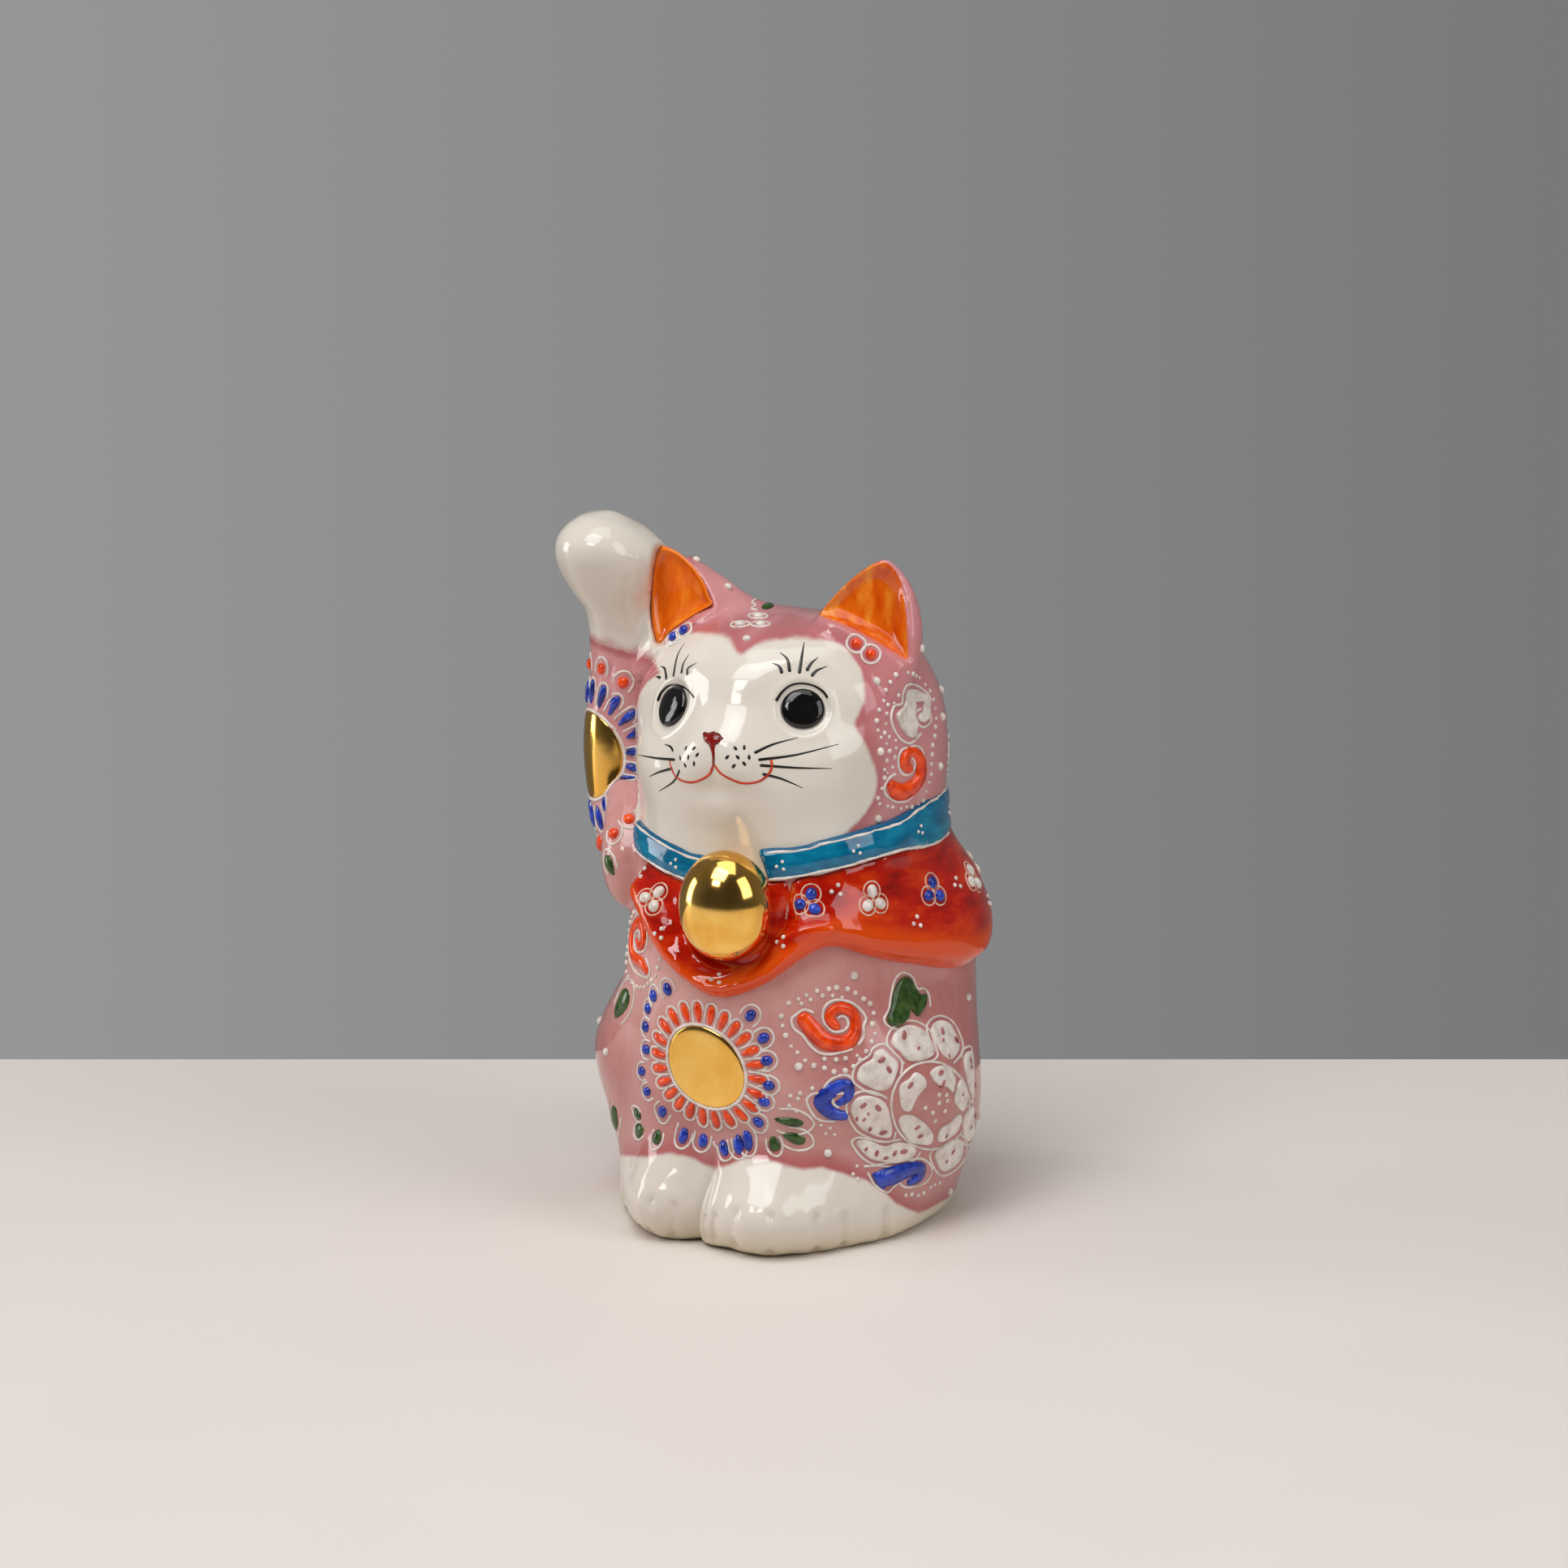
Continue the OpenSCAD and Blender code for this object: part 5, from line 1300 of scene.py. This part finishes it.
for name, curl, edges in (("red_scrolls", BELLY_CURL_SEEN, BELLY_CURL_EDGES),
                          ("red_scrolls", HEAD_CURL_SEEN, HEAD_CURL_EDGES),
                          ("blue_scrolls", BLUE_CURL_SEEN, BLUE_CURL_EDGES)):
    line(name, view_of_body, [(x, y, CURL_FULLNESS * wide) for x, y, wide in curl], flat=0.4)
    for edge in edges:
        piped(view_of_body, edge)
for part in CLOUD_SEEN:
    patch("white_scrolls", view_of_body, part, high=0.75)
piped(view_of_body, CLOUD_EDGE)
for curl in FOOT_CURL_SEEN:
    line("blue_scrolls", view_of_body, curl, flat=0.4)
for edge in FOOT_CURL_EDGES:
    piped(view_of_body, edge, EDGE_TRAIL_HALF)
for az, z, r, turn, size, flip in ROUND_SCROLLS:
    place = seat(body, az, z, r)
    scroll("red_scrolls", place, SCROLL, SCROLL_EDGE, turn, size, flip)
    halo(place, 10.8 * size, 9.4 * size, az + 200)
for az, z, r, turn, size, flip in ROUND_HOOKS:
    place = seat(body, az, z, r)
    scroll("blue_scrolls", place, HOOK, HOOK_EDGE, turn, size, flip)
    halo(place, 8.4 * size, 8.4 * size, az + 300, gap=2.0, r=0.5, first=180, last=400)
for gap, r, seed, closed, row in DOT_ROWS:
    dotted(view_of_body, row, gap, r, seed, closed)
lay("red_scrolls", red_enamel, "red_enamel", "red_scrolls")
lay("blue_scrolls", blue_enamel, "cobalt_enamel", "blue_scrolls")
lay("white_scrolls", white_enamel, "white_enamel")


# Leaves

LEAF_ARCH = ((-1.6, -1.5), (-1.9, 0.6), (-1.2, 2.4), (0, 3.2), (1.2, 2.4), (1.9, 0.6), (1.6, -1.5))
# Place in the view, half-width, half-length and turn
LEAVES_SEEN = ((786, 1373, 1.2, 1.6, -70), (788, 1393, 1.7, 1.9, -120), (810, 1401, 1.25, 1.8, 185),
               (972, 1382, 1.05, 3.3, 98), (978, 1402, 1.25, 2.7, 108), (954, 1409, 1.25, 1.8, 165))
# Azimuth, height, turn and size
ROUND_LEAVES = ((-52, 22, -150, 1.4), (-43, 50, 30, 1.6), (-150, 40, 60, 1.2), (-155, 34, 120, 1.2),
                (150, 62, -30, 1.2), (156, 58, 40, 1.2))
FORELEG_LEAF_SEEN, CROWN_LEAF_SEEN = (751, 1066), (946, 747)
# A broad leaf as the view shows it, and its trail
BROAD_LEAF = ((1112, 1204), (1120, 1204), (1127, 1217), (1133, 1225), (1141, 1225), (1140, 1239),
              (1132, 1252), (1127, 1249), (1121, 1243), (1119, 1249), (1116, 1258), (1106, 1265),
              (1095, 1262), (1093, 1254), (1098, 1238), (1101, 1222), (1106, 1210))
BROAD_LEAF_EDGE = ((1146, 1241), (1144, 1225), (1138, 1218), (1130, 1218), (1124, 1204), (1112, 1198),
                   (1103, 1206), (1098, 1225), (1095, 1244), (1089, 1257), (1098, 1267), (1106, 1268))
CROWN_CURL_SEEN = ((932, 738), (927, 742), (931, 746), (926, 750), (934, 752))


def leaf(place, turn, wide, long, arch_size):
    """A green leaf, narrower at its foot, under its white arch."""
    arched("green_leaves", place, 0, 0, turn, wide, long, high=0.7, arch=LEAF_ARCH, size=arch_size, taper=0.3)


for x, y, wide, long, turn in LEAVES_SEEN:
    leaf(seat_seen(body, x, y), turn, wide, long, long / 1.9)
patch("green_leaves", view_of_body, BROAD_LEAF, high=0.8)
piped(view_of_body, BROAD_LEAF_EDGE, EDGE_TRAIL_HALF)
for az, z, turn, size in ROUND_LEAVES:
    leaf(seat(body, az, z, TORSO_R), turn, 1.5 * size, 2.6 * size, 1.35 * size)
leaf(seat_seen(body, *FORELEG_LEAF_SEEN), turn=-30, wide=1.3, long=2.5, arch_size=1.2)
pillow("green_leaves", seat_seen(body, *CROWN_LEAF_SEEN), 0, 0, wide=3.4, long=1.2, high=0.6, turn=-8)
piped(view_of_body, CROWN_CURL_SEEN)
lay("green_leaves", green_enamel, "green_enamel", "green_leaves")


# Peony

PEONY_SEEN, PEONY_RING, PEONY_LIMB = (1146, 1362), (48, 54), 1198
PETAL_CLEAR, PETAL_HIGH, PEONY_DOT_R = 5.5, 0.6, 0.6
# The second peony, on the right side: its place, and how many millimetres a pixel of the first one gives
RIGHT_PEONY_AZ, RIGHT_PEONY_Z, RIGHT_PEONY_R, RIGHT_PEONY_SCALE = -100, 36, 42, (0.2, 0.16)
# Petals, holes (with their size and turn) and dots as the view shows them
OUTER_PETALS = (((1098, 1286), (1103, 1271), (1116, 1263), (1130, 1265), (1141, 1273), (1146, 1286),
                 (1150, 1299), (1141, 1305), (1128, 1308), (1117, 1306), (1109, 1297)),
                ((1147, 1273), (1149, 1262), (1159, 1257), (1170, 1262), (1176, 1273), (1181, 1286),
                 (1180, 1295), (1173, 1305), (1164, 1303), (1156, 1292)),
                ((1187, 1308), (1189, 1298), (1196, 1295), (1202, 1308), (1206, 1324), (1206, 1340),
                 (1202, 1353), (1196, 1350), (1191, 1334)),
                ((1056, 1330), (1060, 1314), (1074, 1305), (1077, 1297), (1087, 1292), (1096, 1300),
                 (1106, 1310), (1104, 1324), (1096, 1340), (1084, 1344), (1071, 1340)),
                ((1048, 1369), (1052, 1356), (1063, 1350), (1077, 1351), (1090, 1358), (1096, 1372),
                 (1099, 1391), (1096, 1401), (1084, 1401), (1071, 1396), (1058, 1388)),
                ((1055, 1410), (1061, 1404), (1074, 1406), (1090, 1412), (1106, 1407), (1122, 1410),
                 (1129, 1418), (1120, 1428), (1103, 1433), (1084, 1431), (1069, 1426)),
                ((1151, 1426), (1154, 1417), (1167, 1407), (1180, 1402), (1186, 1410), (1183, 1426),
                 (1173, 1438), (1160, 1443)),
                ((1185, 1385), (1189, 1372), (1197, 1362), (1204, 1366), (1203, 1382), (1199, 1398),
                 (1192, 1406), (1187, 1401)))
INNER_PETALS = (((1108, 1350), (1109, 1337), (1120, 1329), (1128, 1321), (1138, 1327), (1141, 1337),
                 (1133, 1346), (1125, 1359), (1120, 1369), (1111, 1366)),
                ((1146, 1321), (1157, 1313), (1170, 1316), (1176, 1330), (1173, 1346), (1167, 1340),
                 (1156, 1337), (1149, 1330)),
                ((1175, 1354), (1178, 1340), (1184, 1329), (1190, 1340), (1190, 1356), (1185, 1369),
                 (1178, 1362)),
                ((1107, 1385), (1112, 1374), (1125, 1374), (1141, 1385), (1149, 1398), (1146, 1409),
                 (1135, 1410), (1120, 1406)),
                ((1154, 1401), (1159, 1390), (1170, 1383), (1181, 1372), (1184, 1378), (1178, 1393),
                 (1168, 1402), (1157, 1407)))
PETAL_HOLES = ((1112, 1276, 1.0, 20), (1130, 1292, 0.5, 60), (1159, 1271, 0.9, 10), (1160, 1282, 0.5, 30),
               (1176, 1282, 0.9, -20), (1167, 1301, 0.5, 0), (1193, 1307, 0.7, 0), (1194, 1315, 0.5, 0),
               (1199, 1337, 0.5, 0), (1085, 1306, 0.9, 70), (1094, 1318, 0.8, -30), (1063, 1361, 0.8, 50),
               (1081, 1364, 0.9, -40), (1055, 1377, 0.5, 0), (1064, 1378, 0.5, 40), (1071, 1390, 0.6, 10),
               (1087, 1394, 0.9, 80), (1069, 1371, 0.4, 0), (1066, 1415, 0.5, 40), (1079, 1420, 0.7, 20),
               (1090, 1426, 0.6, 80), (1101, 1420, 0.7, 30), (1112, 1418, 0.9, 90), (1172, 1418, 0.7, 40),
               (1164, 1430, 0.5, 0), (1199, 1374, 0.5, 0), (1194, 1388, 0.5, 0), (1120, 1337, 0.8, 50),
               (1157, 1322, 0.9, 80), (1160, 1335, 0.8, 30), (1129, 1388, 0.7, 60), (1132, 1399, 0.7, 80),
               (1164, 1399, 0.5, 20), (1184, 1348, 0.4, 0))
PEONY_DOTS = ((1157, 1349), (1166, 1349), (1167, 1356), (1157, 1359), (1140, 1365), (1149, 1371),
              (1164, 1369), (1152, 1381))


def petal_trail(petal):
    """A trail that stands clear of a petal all round, open towards the flower's middle."""
    middle = np.mean(petal, axis=0)
    out = [p + PETAL_CLEAR * (p - middle) / np.hypot(*(p - middle)) for p in np.array(petal)]
    inmost = min(range(len(out)), key=lambda i: np.hypot(*(out[i] - PEONY_SEEN)))
    return [out[(inmost + 1 + i) % len(out)] for i in range(len(out) - 1)]


def peony(place, drawn):
    """Two rings of white petals, the outer ones piped round, with rose spots for holes in the white."""
    def spot(x, y):
        return (place, *drawn(x, y)) if place.at else (seat_seen(body, x, y), 0, 0)

    for petal in OUTER_PETALS:
        patch("peony", place, [drawn(*p) for p in petal], PETAL_HIGH)
        piped(place, [drawn(*p) for p in petal_trail(petal)], FINE_TRAIL_HALF)
    for petal in INNER_PETALS:
        patch("peony", place, [drawn(*p) for p in petal], PETAL_HIGH)
    for x, y, r, turn in PETAL_HOLES:
        pillow("petal_holes", *spot(x, y), wide=0.75 * r, long=1.25 * r, high=0.78, turn=turn, sides=10,
               rings=6, plump=0.2)
    (x, y), (wide, tall) = PEONY_SEEN, PEONY_RING
    ring = [polar(1, q) for q in range(0, 360, 15)]
    piped(place, [drawn(x + wide * a, y + tall * b) for a, b in ring], closed=True)
    for x, y in PEONY_DOTS:
        dot("peony", *spot(x, y), PEONY_DOT_R)


peony(view_of_body, lambda x, y: (min(x, PEONY_LIMB), y))
peony(seat(body, RIGHT_PEONY_AZ, RIGHT_PEONY_Z, RIGHT_PEONY_R),
      lambda x, y: ((PEONY_SEEN[0] - x) * RIGHT_PEONY_SCALE[0], (PEONY_SEEN[1] - y) * RIGHT_PEONY_SCALE[1]))
lay("peony", white_enamel, "white_enamel", "peony")
lay("petal_holes", rose_enamel, "pink_glaze")


# Beads on the head, and single dots all round

WHITE_BEADS_SEEN = ((912, 769), (934, 759), (937, 769))
RED_BEADS_SEEN = ((1055, 793), (1073, 806))
BLUE_BEADS_SEEN = ((829, 784), (842, 776))
SINGLE_DOTS_SEEN = ((1052, 1202), (984, 1314), (1020, 1421), (747, 1296), (1170, 1468), (920, 787),
                    (856, 682), (897, 723), (1080, 839), (1085, 926), (1158, 944), (1161, 883), (1082, 1009),
                    (1136, 798))
TORSO_DOTS = ((104, 50), (109, 22), (-70, 40), (-112, 46), (180, 52), (156, 40), (-162, 26))
HEAD_DOTS = ((118, 118), (-118, 112), (160, 122), (-160, 98), (180, 126), (-100, 104))
HEAD_DOTS_R, SINGLE_DOT_R, HEAD_BEAD_R, HEAD_BEAD_RING = 33, 1.0, 1.2, 2.1

for name, spots, material, slot in (("white_beads", WHITE_BEADS_SEEN, white_enamel, "white_enamel"),
                                    ("red_beads", RED_BEADS_SEEN, red_enamel, "red_enamel"),
                                    ("blue_beads", BLUE_BEADS_SEEN, blue_enamel, "cobalt_enamel")):
    for x, y in spots:
        place = seat_seen(body, x, y)
        pillow(name, place, 0, 0, HEAD_BEAD_R, HEAD_BEAD_R, high=0.85, sides=14, rings=8)
        piped(place, [polar(HEAD_BEAD_RING, i * 36) for i in range(10)], FINE_TRAIL_HALF, 0.9, closed=True)
    lay(name, material, slot)
singles = [seat_seen(body, x, y) for x, y in SINGLE_DOTS_SEEN]
singles += [seat(body, az, z, TORSO_R) for az, z in TORSO_DOTS]
singles += [seat(body, az, z, HEAD_DOTS_R) for az, z in HEAD_DOTS]
for place in singles:
    dot("white_dots", place, 0, 0, SINGLE_DOT_R)
lay("white_dots", white_enamel, "white_enamel", "white_dots")
lay("white_trails", white_enamel, "white_enamel")


# Stage and light

TABLE_HALF, TABLE_BEHIND = 1.2, 0.118
LAMP_FAR, LAMP_AIM = 1.2, Vector((0, 0, 0.08))


def board():
    """Matt white board: a flat, even white, barely clouded."""
    material, tree, shader = finish("matt_white_board", Roughness=0.55, IOR=1.45)
    place = add(tree, "ShaderNodeTexCoord").outputs["Object"]
    cloud = add(tree, "ShaderNodeTexNoise", links={"Vector": place, "Scale": per_mm(90)})
    tone = add(tree, "ShaderNodeValToRGB", stops=((0.2, "#E7DED8"), (0.8, "#EAE2DB")),
               links={"Fac": cloud.outputs["Fac"]})
    tree.links.new(tone.outputs["Color"], shader.inputs["Base Color"])
    return material


def table_form():
    """A square board, turned to the view, whose far edge lies a little behind the cat."""
    bm = bmesh.new()
    bmesh.ops.create_grid(bm, x_segments=1, y_segments=1, size=TABLE_HALF)
    bmesh.ops.translate(bm, vec=(0, TABLE_BEHIND - TABLE_HALF, 0), verts=bm.verts)
    bmesh.ops.rotate(bm, matrix=Matrix.Rotation(VIEW_AZ, 3, "Z"), verts=bm.verts)
    return mesh_of(bm, "table")


def softbox(name, az, el, wide, tall, watts):
    """A lamp behind a white cloth, aimed at the cat from an azimuth and an elevation."""
    lamp = bpy.data.lights.new(name, "AREA")
    lamp.shape = "RECTANGLE"
    lamp.size, lamp.size_y, lamp.energy = wide, tall, watts
    box = bpy.data.objects.new(name, lamp)
    a, e = radians(az), radians(el)
    away = Vector((sin(a) * cos(e), -cos(a) * cos(e), sin(e)))
    box.location = LAMP_AIM + away * LAMP_FAR
    box.rotation_euler = away.to_track_quat("Z", "Y").to_euler()
    bpy.context.scene.collection.objects.link(box)


table = table_form()
table.materials.append(board())
floor = bpy.data.objects.new("table", table)
bpy.context.scene.collection.objects.link(floor)

softbox("key_softbox", -8, 62, 0.7, 0.6, 6.2)
softbox("top_softbox", 30, 84, 0.8, 0.8, 3.7)
softbox("front_window", -8, 40, 0.34, 0.24, 2.3)
softbox("left_window", -74, 10, 0.35, 0.6, 3.4)
softbox("fill_softbox", 80, 30, 0.6, 0.8, 4.0)

# A grey room, darker behind the view; the wall itself shows a grey with painted light, paler on the left
world = bpy.data.worlds.new("grey_room")
world.use_nodes = True
room = world.node_tree
way = add(room, "ShaderNodeTexCoord").outputs["Generated"]
ahead = add(room, "ShaderNodeVectorMath", operation="DOT_PRODUCT",
            links={0: way, 1: (sin(VIEW_AZ), -cos(VIEW_AZ), 0)})
shade = add(room, "ShaderNodeMapRange", interpolation_type="SMOOTHSTEP",
            links={"Value": ahead.outputs["Value"], "From Min": -0.2, "From Max": 0.75})
walls = add(room, "ShaderNodeMix", data_type="RGBA",
            links={"Factor": shade.outputs["Result"], "A": paint("#6C6C6C"), "B": paint("#424141")})
# Painted light on the wall seen straight on: its grey is paler towards the left
aside = add(room, "ShaderNodeVectorMath", operation="DOT_PRODUCT", links={0: way, 1: rightward})
across = add(room, "ShaderNodeMapRange",
             links={"Value": aside.outputs["Value"], "From Min": -0.15, "From Max": 0.15})
plain = add(room, "ShaderNodeMix", data_type="RGBA",
            links={"Factor": across.outputs["Result"], "A": paint("#969696"), "B": paint("#79797B")})
wall = add(room, "ShaderNodeMix", data_type="RGBA",
           links={"Factor": add(room, "ShaderNodeLightPath").outputs["Is Camera Ray"],
                  "A": walls.outputs["Result"], "B": plain.outputs["Result"]})
room.links.new(wall.outputs["Result"], room.nodes["Background"].inputs["Color"])
bpy.context.scene.world = world
bpy.context.scene.view_settings.view_transform = "Standard"
